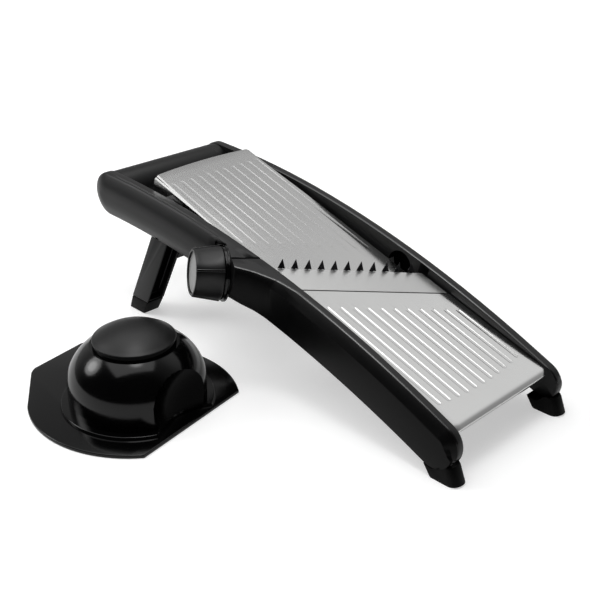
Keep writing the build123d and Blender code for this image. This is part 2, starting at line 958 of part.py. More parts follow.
with BuildPart() as holder_body:
    dome_profile(0)
    with BuildSketch(holder_plane):
        Circle(ring_r)
    extrude(amount=ring_z)
    scoops(scoop_r, Mode.SUBTRACT)
    with BuildSketch(holder_plane):
        with BuildLine():
            Line((brim_near, -brim_near_half), (brim_near, brim_near_half))
            for side in (1, -1):
                ThreePointArc(
                    (brim_near, side * brim_near_half),
                    (brim_side_x, side * brim_side),
                    (brim_turn_x, side * brim_turn_half),
                )
            Line((brim_turn_x, -brim_turn_half), (brim_cut_x, -brim_cut_half))
            ThreePointArc(
                (brim_cut_x, -brim_cut_half),
                (brim_corner_x, -brim_corner_half),
                (brim_far, -brim_far_left),
            )
            Line((brim_far, -brim_far_left), (brim_far, brim_far_right))
            ThreePointArc(
                (brim_far, brim_far_right),
                (brim_back_x, brim_back_half),
                (brim_turn_x, brim_turn_half),
            )
        make_face()
    extrude(amount=brim_thick)
    add(dome_cavity.part, mode=Mode.SUBTRACT)
    with BuildSketch(holder_plane):
        Circle(bush_r)
    extrude(amount=far_reach, mode=Mode.SUBTRACT)

ceiling = dome_top - dome_wall

with BuildPart() as stem_bush:
    with BuildSketch(holder_plane.offset(ceiling - bush_length)):
        Circle(bush_r)
        Circle(stem_r + run_clear, mode=Mode.SUBTRACT)
    extrude(amount=bush_length + dome_wall)
    with BuildSketch(holder_plane.offset(ceiling - bush_flange_thick)):
        Circle(bush_r + bush_flange)
        Circle(bush_r, mode=Mode.SUBTRACT)
    extrude(amount=bush_flange_thick)

cap_bottom = dome_top + cap_gap
cap_top = cap_bottom + cap_rim + cap_crown
crown_r = (cap_r**2 + cap_crown**2) / (2 * cap_crown)
crown_sweep = degrees(asin(cap_r / crown_r))

with BuildPart() as pusher_cap:
    with BuildSketch(holder_side):
        with BuildLine():
            Polyline((0, cap_bottom), (cap_r, cap_bottom), (cap_r, cap_bottom + cap_rim))
            CenterArc((0, cap_top - crown_r), crown_r, 90 - crown_sweep, crown_sweep)
            Line((0, cap_top), (0, cap_bottom))
        make_face()
    revolve(axis=holder_axis)

pusher_top = pusher_z + pusher_thick

with BuildPart() as pusher_stem:
    with BuildSketch(holder_plane.offset(pusher_top)):
        Circle(stem_r)
    extrude(amount=cap_bottom - pusher_top)
    with BuildSketch(holder_plane.offset(pusher_top)):
        Circle(screw_r)
    extrude(amount=stem_screw_bite, mode=Mode.SUBTRACT)

with BuildPart() as pusher_plate:
    with BuildSketch(holder_plane.offset(pusher_z)):
        Circle(pusher_r)
        Circle(screw_r, mode=Mode.SUBTRACT)
        with PolarLocations(prong_ring, prong_count):
            Circle(prong_r, mode=Mode.SUBTRACT)
    extrude(amount=pusher_thick)

with BuildPart() as pusher_prongs:
    with BuildSketch(holder_plane.offset(pusher_z - prong_length)):
        with PolarLocations(prong_ring, prong_count):
            Circle(prong_r)
    extrude(amount=prong_length + pusher_thick)

with BuildPart() as stem_screw:
    with BuildSketch(holder_plane.offset(pusher_z - screw_head)):
        Circle(screw_head_r)
    extrude(amount=screw_head)
    with BuildSketch(holder_plane.offset(pusher_z)):
        Circle(screw_r)
    extrude(amount=pusher_thick + stem_screw_bite)

spring_low = pusher_top + spring_gap + wire_r
spring_high = ceiling - bush_flange_thick - spring_gap - wire_r

with BuildPart() as pusher_spring:
    with BuildLine():
        coil = Helix(
            pitch=(spring_high - spring_low) / spring_turns,
            height=spring_high - spring_low,
            radius=spring_r,
            center=(holder_x, holder_y, spring_low),
        )
    with BuildSketch(coil ^ 0):
        Circle(wire_r)
    sweep(path=coil)

# Write each piece under its node's name

pieces = {
    "left_rail": left_rail,
    "right_rail": right_rail,
    "left_upper_cover": left_upper_cover,
    "right_upper_cover": right_upper_cover,
    "left_lower_cover": left_lower_cover,
    "right_lower_cover": right_lower_cover,
    "handle_grip": handle_grip,
    "handle_rod": handle_rod,
    "rear_brace": rear_brace,
    "front_brace": front_brace,
    "lower_deck": lower_deck,
    "lower_plate": lower_plate,
    "blade": blade,
    "blade_studs": blade_studs,
    "blade_nuts": blade_nuts,
    "comb_tines": comb_tines,
    "comb_bar": comb_bar,
    "comb_grip": comb_grip,
    "left_bearing": left_bearing,
    "right_bearing": right_bearing,
    "bearing_screws": bearing_screws,
    "plate_tray": plate_tray,
    "upper_plate": upper_plate,
    "guide_posts": guide_posts,
    "dial_collar": dial_collar,
    "dial_knob": dial_knob,
    "dial_face": dial_face,
    "dial_shaft": dial_shaft,
    "dial_screw": dial_screw,
    "left_cam": left_cam,
    "right_cam": right_cam,
    "left_foot": left_foot,
    "right_foot": right_foot,
    "left_leg": left_leg,
    "right_leg": right_leg,
    "left_leg_tip": left_leg_tip,
    "right_leg_tip": right_leg_tip,
    "leg_crossbar": leg_crossbar,
    "leg_pins": leg_pins,
    "leg_stops": leg_stops,
    "holder_body": holder_body,
    "stem_bush": stem_bush,
    "pusher_cap": pusher_cap,
    "pusher_stem": pusher_stem,
    "pusher_plate": pusher_plate,
    "pusher_prongs": pusher_prongs,
    "pusher_spring": pusher_spring,
    "stem_screw": stem_screw,
}
for name, piece in pieces.items():
    piece.part.label = name
    export_step(piece.part, f"parts/{name}.step")
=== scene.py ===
"""Looks of the mandoline slicer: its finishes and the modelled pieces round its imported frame.

Sizes in the class fields are millimetres, and shapes are built in millimetres in the part's own frame:
X runs down the slope to the front feet, +Y is the right-hand rail, Z is up from the table.
"""
from __future__ import annotations

import json
import logging
import math
from dataclasses import dataclass, field
from enum import Enum
from typing import Callable, Iterable, Sequence

import bmesh
import bpy
from mathutils import Matrix, Vector


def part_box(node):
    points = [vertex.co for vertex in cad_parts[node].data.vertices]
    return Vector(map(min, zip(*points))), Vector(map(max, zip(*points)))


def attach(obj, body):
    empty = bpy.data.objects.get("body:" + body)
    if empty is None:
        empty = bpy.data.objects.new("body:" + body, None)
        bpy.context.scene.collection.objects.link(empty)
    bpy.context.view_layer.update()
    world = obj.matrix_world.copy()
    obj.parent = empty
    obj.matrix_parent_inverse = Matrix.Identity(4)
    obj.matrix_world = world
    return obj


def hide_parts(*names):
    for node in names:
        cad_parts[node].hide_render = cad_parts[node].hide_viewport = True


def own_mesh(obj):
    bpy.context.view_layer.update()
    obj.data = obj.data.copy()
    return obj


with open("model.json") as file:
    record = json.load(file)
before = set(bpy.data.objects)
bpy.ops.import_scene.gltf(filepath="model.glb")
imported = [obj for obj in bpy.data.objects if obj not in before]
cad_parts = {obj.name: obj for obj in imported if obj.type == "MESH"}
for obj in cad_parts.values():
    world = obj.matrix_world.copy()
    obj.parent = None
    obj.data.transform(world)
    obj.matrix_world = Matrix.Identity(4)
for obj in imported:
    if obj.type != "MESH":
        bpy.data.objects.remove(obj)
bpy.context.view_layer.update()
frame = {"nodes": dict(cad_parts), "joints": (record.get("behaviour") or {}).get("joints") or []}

log = logging.getLogger("slicer")
MM = 0.001
Point = tuple[float, float]
Socket = bpy.types.NodeSocket
Face = bmesh.types.BMFace
FaceTest = Callable[[Face], bool]
EdgeTest = Callable[[bmesh.types.BMEdge], bool]
Colour = tuple[float, float, float]


class Body(Enum):
    """The bodies that move apart from each other."""

    FRAME = "frame"
    CARRIAGE = "carriage"
    DIAL = "dial"
    COMB = "comb"
    STAND = "stand"
    HOLDER = "holder"
    PUSHER = "pusher"


class Side(Enum):
    """The two rails, by the sign of Y that points outwards."""

    LEFT = -1
    RIGHT = 1

    @property
    def word(self) -> str:
        """Name of the side as the nodes spell it."""
        return self.name.lower()


class Graph:
    """A material's node tree with short ways to add its usual nodes.

    Attributes:
        MIDDLE: Range that most of a noise texture's values keep to.
    """

    MIDDLE = (0.3, 0.7)

    def __init__(self, name: str) -> None:
        """Start a material that holds one principled shader.

        Args:
            name: Name of the material.
        """
        self.material = bpy.data.materials.new(name)
        self.material.use_nodes = True
        self.tree = self.material.node_tree
        self.shader = self.tree.nodes["Principled BSDF"]

    def node(self, kind: str, **inputs: object) -> bpy.types.Node:
        """Add a node and set its inputs.

        Args:
            kind: Blender's name of the node type.
            inputs: Values by socket name, with underscores for spaces.

        Returns:
            The new node.
        """
        made = self.tree.nodes.new(kind)
        for name, value in inputs.items():
            made.inputs[name.replace("_", " ")].default_value = value
        return made

    def link(self, source: Socket, target: Socket) -> None:
        """Join two sockets."""
        self.tree.links.new(source, target)

    def place(self, stretch: Sequence[float] = (1, 1, 1), turn: Sequence[float] = (0, 0, 0)) -> Socket:
        """Give the object's own coordinates, turned and stretched.

        Args:
            stretch: Scale along the turned axes.
            turn: Euler angles in radians.

        Returns:
            The vector socket to feed a texture.
        """
        coords = self.tree.nodes.new("ShaderNodeTexCoord")
        turned = self.node("ShaderNodeMapping", Rotation=tuple(turn))
        scaled = self.node("ShaderNodeMapping", Scale=tuple(stretch))
        self.link(coords.outputs["Object"], turned.inputs["Vector"])
        self.link(turned.outputs["Vector"], scaled.inputs["Vector"])
        return scaled.outputs["Vector"]

    def noise(self, vector: Socket, scale: float, detail: float = 3.0) -> Socket:
        """Add a noise texture.

        Args:
            vector: Coordinates that it reads.
            scale: Number of blotches to a unit of the coordinates.
            detail: Number of finer layers.

        Returns:
            Its value socket.
        """
        made = self.node("ShaderNodeTexNoise", Scale=scale, Detail=detail)
        self.link(vector, made.inputs["Vector"])
        return made.outputs["Fac"]

    def spread(self, value: Socket, low: float, high: float) -> Socket:
        """Stretch a texture's middle range to run between two numbers.

        Args:
            value: The texture's value.
            low: Number at the low end.
            high: Number at the high end.

        Returns:
            The stretched value.
        """
        start, end = self.MIDDLE
        made = self.node("ShaderNodeMapRange", From_Min=start, From_Max=end, To_Min=low, To_Max=high)
        self.link(value, made.inputs["Value"])
        return made.outputs["Result"]

    def tint(self, value: Socket, low: Colour, high: Colour) -> Socket:
        """Blend two colours by a value.

        Args:
            value: Share of the second colour.
            low: First colour.
            high: Second colour.

        Returns:
            The blended colour.
        """
        made = self.tree.nodes.new("ShaderNodeMix")
        made.data_type = "RGBA"
        colours = [socket for socket in made.inputs if socket.type == "RGBA"]
        colours[0].default_value = (*low, 1)
        colours[1].default_value = (*high, 1)
        self.link(value, made.inputs["Factor"])
        return next(socket for socket in made.outputs if socket.type == "RGBA")

    def bump(self, value: Socket, strength: float, depth: float) -> None:
        """Raise the surface by a texture.

        Args:
            value: Height from 0 to 1.
            strength: How much of the bump shows.
            depth: Height of a full bump in millimetres.
        """
        made = self.node("ShaderNodeBump", Strength=strength, Distance=depth * MM)
        self.link(value, made.inputs["Height"])
        self.link(made.outputs["Normal"], self.shader.inputs["Normal"])


@dataclass(frozen=True)
class Moulding:
    """Moulded plastic or rubber: a drifting shade and a fine grain.

    Attributes:
        name: Name of the finish.
        slot: Material slot in the record; not used.
        colour: Base colour.
        roughness: Mean roughness.
        specular: Specular level of the shader.
        grain: Width of one grain in millimetres.
        grain_depth: Height of the grain in millimetres.
        drift: Share by which the shade wanders.
        rough_drift: Share by which the roughness wanders.
        clouds: Number of the drift's blotches to a metre.
        grain_shows: How much of the grain shows.
    """

    name: str
    slot: str
    colour: Colour
    roughness: float
    specular: float = 0.5
    grain: float = 0.5
    grain_depth: float = 0.02
    drift: float = 0.15
    rough_drift: float = 0.04
    clouds: float = 45.0
    grain_shows: float = 0.6

    def material(self) -> bpy.types.Material:
        """Build the node tree, once.

        Returns:
            The finish's material.
        """
        made = bpy.data.materials.get(f"{self.name}_finish")
        if made:
            return made
        graph = Graph(f"{self.name}_finish")
        place = graph.place()
        cloud = graph.noise(place, self.clouds, 5.0)
        low = tuple(c * (1 - self.drift) for c in self.colour)
        high = tuple(c * (1 + self.drift) for c in self.colour)
        graph.link(graph.tint(cloud, low, high), graph.shader.inputs["Base Color"])
        rough = graph.spread(
            cloud, self.roughness * (1 - self.rough_drift), self.roughness * (1 + self.rough_drift)
        )
        graph.link(rough, graph.shader.inputs["Roughness"])
        graph.shader.inputs["Specular IOR Level"].default_value = self.specular
        grains = graph.noise(place, 1 / (self.grain * MM), 2.0)
        graph.bump(grains, self.grain_shows, self.grain_depth)
        return graph.material


@dataclass(frozen=True)
class BrushedMetal:
    """Brushed or ground metal: streaks along one direction.

    Attributes:
        name: Name of the finish.
        slot: Material slot in the record; not used.
        colour: Base colour.
        roughness: Mean roughness.
        turn: Euler angles in degrees that bring the part's frame to the streaks' frame.
        streak: Length of a streak in millimetres, along the turned X axis.
        fine: Width of a streak in millimetres.
        depth: Depth of a streak in millimetres.
        metallic: Metallic share of the shader.
        shades: Shares of the colour between which the shade wanders.
        rough_drift: Share by which the roughness wanders.
        clouds: Number of the drift's blotches to a metre.
        streak_shows: How much of a streak's depth shows.
    """

    name: str
    slot: str
    colour: Colour
    roughness: float
    turn: tuple[float, float, float] = (0, 0, 0)
    streak: float = 30.0
    fine: float = 0.8
    depth: float = 0.0001
    metallic: float = 1.0
    shades: Point = (0.94, 1.04)
    rough_drift: float = 0.08
    clouds: float = 18.0
    streak_shows: float = 0.5

    def material(self) -> bpy.types.Material:
        """Build the node tree, once.

        Returns:
            The finish's material.
        """
        made = bpy.data.materials.get(f"{self.name}_finish")
        if made:
            return made
        graph = Graph(f"{self.name}_finish")
        turn = [math.radians(angle) for angle in self.turn]
        along, aside = 1 / (self.streak * MM), 1 / (self.fine * MM)
        streaks = graph.noise(graph.place((along, aside, aside), turn), 1.0, 1.5)
        cloud = graph.noise(graph.place(), self.clouds)
        low, high = (tuple(min(1.0, c * share) for c in self.colour) for share in self.shades)
        graph.link(graph.tint(cloud, low, high), graph.shader.inputs["Base Color"])
        rough = graph.spread(
            streaks, self.roughness * (1 - self.rough_drift), self.roughness * (1 + self.rough_drift)
        )
        graph.link(rough, graph.shader.inputs["Roughness"])
        graph.shader.inputs["Metallic"].default_value = self.metallic
        graph.bump(streaks, self.streak_shows, self.depth)
        return graph.material


Finish = Moulding | BrushedMetal


class Finishes:
    """Every finish on the slicer."""

    RAIL = Moulding("satin_rail", "rail_black", (0.0045, 0.0045, 0.0047), 0.42, 0.36, 0.6, 0.012)
    GRIP = Moulding("soft_grip", "soft_grip", (0.005, 0.005, 0.0052), 0.4, 0.26, 0.35, 0.015)
    GLOSS = Moulding("polished_black", "gloss_black", (0.001, 0.001, 0.0011), 0.14, 0.28, 3.0, 0.002, 0.25)
    PANEL = Moulding("panel_black", "gloss_black", (0.002, 0.002, 0.0021), 0.35, 0.12, 3.0, 0.002, 0.25)
    # Painted highlight: a glossier copy of the panel's black on narrow roundings, the rims' edges and the
    # knob's ridges, so they show as thin bright lines.
    SHINE = Moulding("edge_black", "gloss_black", (0.002, 0.002, 0.0021), 0.25, 0.6, 3.0, 0.002, 0.25)
    # Painted shade: a darker copy of the rail's black with almost no reflection, put in recesses, channels
    # and on undersides where shade falls.
    HOLLOW = Moulding("hollow_black", "rail_black", (0.0012, 0.0012, 0.0012), 0.6, 0.004, 3.0, 0.002)
    # Painted shade: the polished black with its reflection nearly taken away, so the finger hollows and
    # the cap's upright wall read dark.
    SCOOP = Moulding("scoop_black", "gloss_black", (0.001, 0.001, 0.0011), 0.16, 0.035, 3.0, 0.002)
    KNOB = Moulding("knob_black", "gloss_black", (0.005, 0.005, 0.0052), 0.4, 0.34, 0.5, 0.03)
    LEG = Moulding("leg_black", "gloss_black", (0.003, 0.003, 0.0032), 0.35, 0.2, 0.5, 0.01)
    # The two plates are the same steel: the upper one gets a darker colour as painted shade, the lower one
    # a paler colour as painted light.
    UPPER = BrushedMetal("brushed_upper", "plate_steel", (0.58, 0.58, 0.575), 0.19, (0, 0, 90))
    LOWER = BrushedMetal("brushed_lower", "plate_steel", (0.69, 0.69, 0.685), 0.19, (0, 0, 90))
    EDGE = BrushedMetal("ground_edge", "edge_steel", (0.6, 0.6, 0.595), 0.34, (0, 0, 60), 8.0)
    # Painted reflection: the tines' broad faces get near-black steel for the dark they mirror; their
    # ground edges keep the bright steel.
    TINE = BrushedMetal("dark_tine", "edge_steel", (0.02, 0.02, 0.021), 0.25, (0, 0, 60), 8.0)
    BAR = BrushedMetal("bright_bar", "bar_metal", (0.55, 0.55, 0.55), 0.28, (0, 0, 90), 6.0)
    FASTENER = BrushedMetal("fastener", "fastener_steel", (0.6, 0.6, 0.59), 0.25, (0, 0, 0), 2.0)
    BEARING = Moulding("bearing", "bearing_plastic", (0.55, 0.54, 0.5), 0.5, 0.4, 0.8, 0.02, 0.05)
    DIAL = Moulding("dial_grey", "dial_grey", (0.33, 0.33, 0.325), 0.45, 0.3, 0.5, 0.03, 0.12)
    RUBBER = Moulding("boot_rubber", "foot_rubber", (0.0015, 0.0015, 0.0015), 0.5, 0.1, 0.4, 0.02)


def arc(start: Point, middle: Point, end: Point, steps: int) -> list[Point]:
    """Points along the circle through three points, both ends included.

    Args:
        start: First point.
        middle: A point on the arc.
        end: Last point.
        steps: Number of chords.

    Returns:
        The points in order.
    """
    (ax, ay), (bx, by), (cx, cy) = start, middle, end
    turn = 2 * (ax * (by - cy) + bx * (cy - ay) + cx * (ay - by))
    a2, b2, c2 = ax * ax + ay * ay, bx * bx + by * by, cx * cx + cy * cy
    ox = (a2 * (by - cy) + b2 * (cy - ay) + c2 * (ay - by)) / turn
    oy = (a2 * (cx - bx) + b2 * (ax - cx) + c2 * (bx - ax)) / turn
    radius = math.hypot(ax - ox, ay - oy)
    first, via, last = (math.atan2(y - oy, x - ox) for x, y in (start, middle, end))
    sweep = (last - first) % math.tau
    if (via - first) % math.tau > sweep:
        sweep -= math.tau
    angles = [first + sweep * i / steps for i in range(steps + 1)]
    return [(ox + radius * math.cos(a), oy + radius * math.sin(a)) for a in angles]


def rounded(corners: Sequence[tuple[float, float, float]], steps: int = 6) -> list[Point]:
    """Open line through corners whose turns are rounded.

    Args:
        corners: Place and radius of each corner; the two ends have no radius.
        steps: Number of chords in a rounded corner.

    Returns:
        The points in order.
    """
    line: list[Point] = []
    for i, (x, y, radius) in enumerate(corners):
        if radius == 0 or i in (0, len(corners) - 1):
            line.append((x, y))
            continue
        here = Vector((x, y))
        back = (Vector(corners[i - 1][:2]) - here).normalized()
        ahead = (Vector(corners[i + 1][:2]) - here).normalized()
        half = back.angle(ahead) / 2
        reach = radius / math.tan(half)
        middle = here + (back + ahead).normalized() * (radius / math.sin(half) - radius)
        line += arc(tuple(here + back * reach), tuple(middle), tuple(here + ahead * reach), steps)
    return line


def placed(
    origin: Sequence[float], x: Sequence[float], y: Sequence[float], z: Sequence[float]
) -> Matrix:
    """Matrix that puts local axes and an origin into the part's frame.

    Args:
        origin: Place of the local origin.
        x: Direction of the local X axis.
        y: Direction of the local Y axis.
        z: Direction of the local Z axis.

    Returns:
        The matrix, with axes of length 1.
    """
    columns = [Vector(axis).normalized() for axis in (x, y, z)]
    made = Matrix.Identity(4)
    for i, column in enumerate(columns):
        made.col[i][:3] = column
    made.translation = Vector(origin)
    return made


class Shape:
    """A mesh in the making, in millimetres.

    Attributes:
        MERGE_WITHIN: Distance within which two vertices are one.
        FLAT_WITHIN: Turn between two faces, in degrees, that still counts as flat.
    """

    MERGE_WITHIN = 0.001
    FLAT_WITHIN = 0.1

    def __init__(self) -> None:
        """Start with nothing."""
        self.bm = bmesh.new()

    @classmethod
    def copy_of(cls, node: str) -> Shape:
        """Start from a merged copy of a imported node.

        Args:
            node: Name of the node.

        Returns:
            The shape, with each flat face in one piece.
        """
        made = cls()
        made.bm.from_mesh(frame["nodes"][node].data)
        made.place(Matrix.Scale(1 / MM, 4))
        made.merge_doubles()
        bmesh.ops.dissolve_limit(
            made.bm,
            angle_limit=math.radians(cls.FLAT_WITHIN),
            verts=made.bm.verts[:],
            edges=made.bm.edges[:],
        )
        return made

    @classmethod
    def outline(cls, points: Iterable[Point]) -> Shape:
        """Start from one flat face in the local XY plane.

        Args:
            points: Corners of the face, in order.

        Returns:
            The shape.
        """
        made = cls()
        made.bm.faces.new([made.bm.verts.new((x, y, 0)) for x, y in points])
        made.merge_doubles()
        return made

    @classmethod
    def lathe(cls, profile: Sequence[Point], steps: int = 96) -> Shape:
        """Turn a profile of radius and height about the local Z axis.

        Args:
            profile: Points from one end of the profile to the other.
            steps: Number of sides.

        Returns:
            The turned shape.
        """
        made = cls()
        verts = [made.bm.verts.new((radius, 0, height)) for radius, height in profile]
        edges = [made.bm.edges.new(pair) for pair in zip(verts, verts[1:])]
        bmesh.ops.spin(
            made.bm,
            geom=verts + edges,
            cent=(0, 0, 0),
            axis=(0, 0, 1),
            angle=math.tau,
            steps=steps,
            use_merge=True,
        )
        made.merge_doubles()
        made.face_outwards()
        return made

    def merge_doubles(self) -> None:
        """Join vertices that lie on each other."""
        bmesh.ops.remove_doubles(self.bm, verts=self.bm.verts[:], dist=self.MERGE_WITHIN)

    def face_outwards(self) -> None:
        """Turn every face to the outside."""
        bmesh.ops.recalc_face_normals(self.bm, faces=self.bm.faces[:])

    def place(self, matrix: Matrix) -> Shape:
        """Move all vertices by a matrix."""
        bmesh.ops.transform(self.bm, matrix=matrix, verts=self.bm.verts[:])
        return self

    def faces(self, test: FaceTest) -> list[Face]:
        """Faces that pass a test, with fresh normals."""
        self.bm.normal_update()
        return [face for face in self.bm.faces if test(face)]

    def largest(self, test: FaceTest) -> Face:
        """The largest face that passes a test."""
        return max(self.faces(test), key=lambda face: face.calc_area())

    def raise_faces(self, faces: list[Face], shift: Sequence[float]) -> list[Face]:
        """Extrude faces by a shift.

        Args:
            faces: The faces, side by side.
            shift: How far they move.

        Returns:
            The moved faces.
        """
        made = bmesh.ops.extrude_face_region(self.bm, geom=faces)["geom"]
        moved = [item for item in made if isinstance(item, bmesh.types.BMVert)]
        bmesh.ops.translate(self.bm, verts=moved, vec=Vector(shift))
        return [item for item in made if isinstance(item, Face)]

    def shift(self, test: FaceTest, distance: Callable[[Vector], float]) -> None:
        """Move the faces that pass a test along their normals, together with what joins them.

        Args:
            test: Which faces move.
            distance: How far, at a place.
        """
        moves: dict[bmesh.types.BMVert, Vector] = {}
        for face in self.faces(test):
            for vertex in face.verts:
                moves[vertex] = moves.get(vertex, Vector()) + face.normal
        for vertex, way in moves.items():
            vertex.co += way.normalized() * distance(vertex.co)

    def swell(self, faces: list[Face], steps: Sequence[Point]) -> None:
        """Raise faces like a cushion, in rings.

        Args:
            faces: The faces to raise, side by side.
            steps: Width and rise of each ring, from the edge inwards.
        """
        for width, rise in steps:
            bmesh.ops.inset_region(
                self.bm,
                faces=faces,
                thickness=width,
                depth=rise,
                use_boundary=True,
                use_even_offset=True,
            )

    def bevel(
        self, width: float, segments: int = 3, angle: float = 28.0, where: EdgeTest | None = None
    ) -> Shape:
        """Round the sharp edges.

        Args:
            width: Width of the rounding.
            segments: Number of strips.
            angle: Smallest turn between two faces, in degrees, that counts as sharp.
            where: Only edges that pass this test.

        Returns:
            The shape itself.
        """
        self.bm.normal_update()
        sharp = [
            edge
            for edge in self.bm.edges
            if len(edge.link_faces) == 2
            and edge.calc_face_angle(0) > math.radians(angle)
            and (where is None or where(edge))
        ]
        bmesh.ops.bevel(
            self.bm,
            geom=sharp,
            offset=width,
            offset_type="OFFSET",
            segments=segments,
            profile=0.5,
            affect="EDGES",
            clamp_overlap=True,
            material=-1,
        )
        return self

    def slice(self, point: Sequence[float], normal: Sequence[float]) -> None:
        """Cut the faces along a plane and keep both parts.

        Args:
            point: A point on the plane.
            normal: Direction square to the plane.
        """
        everything = self.bm.verts[:] + self.bm.edges[:] + self.bm.faces[:]
        bmesh.ops.bisect_plane(
            self.bm, geom=everything, plane_co=Vector(point), plane_no=Vector(normal)
        )

    def join(self, other: Shape) -> None:
        """Add another shape's faces to this one and use that shape up.

        Args:
            other: The shape to add.
        """
        mesh = bpy.data.meshes.new("joined")
        other.bm.to_mesh(mesh)
        other.bm.free()
        self.bm.from_mesh(mesh)
        bpy.data.meshes.remove(mesh)

    def carve(self, *cutters: Shape) -> Shape:
        """Cut closed shapes out of this one and use them up.

        Args:
            cutters: Shapes to take away.

        Returns:
            The shape itself.
        """
        made = []
        for shape in (self, *cutters):
            mesh = bpy.data.meshes.new("carving")
            shape.bm.to_mesh(mesh)
            made.append(bpy.data.objects.new("carving", mesh))
            bpy.context.scene.collection.objects.link(made[-1])
        body = made[0]
        for cutter in made[1:]:
            cut = body.modifiers.new("cut", "BOOLEAN")
            cut.operation = "DIFFERENCE"
            cut.solver = "EXACT"
            cut.object = cutter
        graph = bpy.context.evaluated_depsgraph_get()
        result = bpy.data.meshes.new_from_object(body.evaluated_get(graph))
        self.bm.clear()
        self.bm.from_mesh(result)
        bpy.data.meshes.remove(result)
        for shape in cutters:
            shape.bm.free()
        for item in made:
            mesh = item.data
            bpy.data.objects.remove(item)
            bpy.data.meshes.remove(mesh)
        return self

    def paint(self, index: int, test: FaceTest) -> None:
        """Give the faces that pass a test another of the piece's finishes."""
        for face in self.faces(test):
            face.material_index = index

    def dress(
        self,
        name: str,
        body: Body,
        finishes: Sequence[Finish],
        nodes: Sequence[str] = (),
        smooth: float = 32.0,
    ) -> bpy.types.Object:
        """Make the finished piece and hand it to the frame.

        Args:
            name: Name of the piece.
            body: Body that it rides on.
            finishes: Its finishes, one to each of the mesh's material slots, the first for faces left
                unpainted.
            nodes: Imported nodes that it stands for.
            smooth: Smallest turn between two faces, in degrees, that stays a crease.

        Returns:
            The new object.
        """
        self.place(Matrix.Scale(MM, 4))
        mesh = bpy.data.meshes.new(name)
        self.bm.to_mesh(mesh)
        self.bm.free()
        mesh.shade_smooth()
        mesh.set_sharp_from_angle(angle=math.radians(smooth))
        for finish in finishes:
            mesh.materials.append(finish.material())
        made = bpy.data.objects.new(name, mesh)
        bpy.context.scene.collection.objects.link(made)
        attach(made, body.value)
        if nodes:
            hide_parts(*nodes)
        log.info("%s rides on %s", name, body.value)
        return made


def joint(name: str) -> dict:
    """The record's entry for a joint."""
    return next(entry for entry in frame["joints"] if entry["name"] == name)


def finish_node(node: str, finish: Finish) -> None:
    """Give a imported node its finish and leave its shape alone.

    Args:
        node: Name of the node.
        finish: Its finish.
    """
    slots = frame["nodes"][node].material_slots
    for slot in slots:
        slot.material = finish.material()
    if not slots:
        frame["nodes"][node].data.materials.append(finish.material())
    log.info("%s keeps its solid", node)


@dataclass
class Layout:
    """Planes that the pieces are built on, worked out from the frame's joints and boxes.

    Attributes:
        edge_x: Place of the cutting edge's middle down the slicer.
        edge_z: Its height.
        up: Direction square up from the plates.
        along_blade: Direction of the blade, towards the right.
        middle_y: Place of the slicer's middle across.
    """

    edge_x: float = 37.7
    edge_z: float = 85.7
    up: Vector = field(init=False)
    along_blade: Vector = field(init=False)
    middle_y: float = field(init=False)

    def __post_init__(self) -> None:
        """Read the directions from the joints."""
        self.up = Vector(joint("plate_lift")["axis"])
        self.along_blade = Vector(joint("comb_pull")["axis"])
        left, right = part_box("left_rail")[0].y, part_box("right_rail")[1].y
        self.middle_y = (left + right) / 2 / MM

    @property
    def deck(self) -> Matrix:
        """Frame of the plates.

        Returns:
            Local X down the slope, Y across to the right, Z square up from the plates.
        """
        across = Vector((0, 1, 0))
        origin = (self.edge_x, self.middle_y, self.edge_z)
        return placed(origin, across.cross(self.up), across, self.up)

    @property
    def shaft(self) -> Matrix:
        """Frame of the dial's shaft.

        Returns:
            Local Z out along the shaft, Y square up from the plates.
        """
        out = -self.along_blade
        origin = Vector(joint("dial_turn")["pos_m"]) / MM
        return placed(origin, self.up.cross(out), self.up, out)

    @property
    def skew(self) -> float:
        """Angle of the blade from straight across, in radians."""
        return Vector((0, 1, 0)).angle(self.along_blade)

    def side(self, side: Side, out: float) -> Matrix:
        """Upright plane of a rail: local X down the slicer, Y up, Z outwards from `out`."""
        normal = (0, side.value, 0)
        return placed((0, self.middle_y + side.value * out, 0), (1, 0, 0), (0, 0, 1), normal)


def direction(azimuth: float, elevation: float) -> Vector:
    """Direction from the object.

    Args:
        azimuth: Turn from +X towards +Y, in degrees.
        elevation: Height, in degrees.

    Returns:
        A unit vector.
    """
    turn, lift = math.radians(azimuth), math.radians(elevation)
    return Vector((math.cos(turn) * math.cos(lift), math.sin(turn) * math.cos(lift), math.sin(lift)))


@dataclass(frozen=True)
class Lamp:
    """A soft lamp, placed as seen from the object.

    Attributes:
        name: Name of the lamp.
        azimuth: Direction round the object from +X towards +Y, in degrees.
        elevation: Height of that direction, in degrees.
        distance: Distance from the object.
        size: Width and depth of its face, or its diameter twice.
        radiance: Brightness of its face.
        shape: Blender's shape of its face.
        turn: Direction of its width, in degrees.
    """

    name: str
    azimuth: float
    elevation: float
    distance: float
    size: tuple[float, float]
    radiance: float
    shape: str = "DISK"
    turn: float = 60.0

    def build(self, aim: Vector) -> None:
        """Put the lamp in the scene.

        Args:
            aim: The point it faces.
        """
        out, side = direction(self.azimuth, self.elevation), math.radians(self.turn)
        width = Vector((math.cos(side), math.sin(side), 0))
        width -= out * width.dot(out)
        area = self.size[0] * self.size[1] * MM * MM * (math.pi / 4 if self.shape == "DISK" else 1)
        lamp = bpy.data.lights.new(self.name, "AREA")
        lamp.shape = self.shape
        lamp.size, lamp.size_y = self.size[0] * MM, self.size[1] * MM
        lamp.energy = self.radiance * math.pi * area
        made = bpy.data.objects.new(self.name, lamp)
        made.matrix_world = placed((aim + out * self.distance) * MM, width, out.cross(width), out)
        bpy.context.scene.collection.objects.link(made)


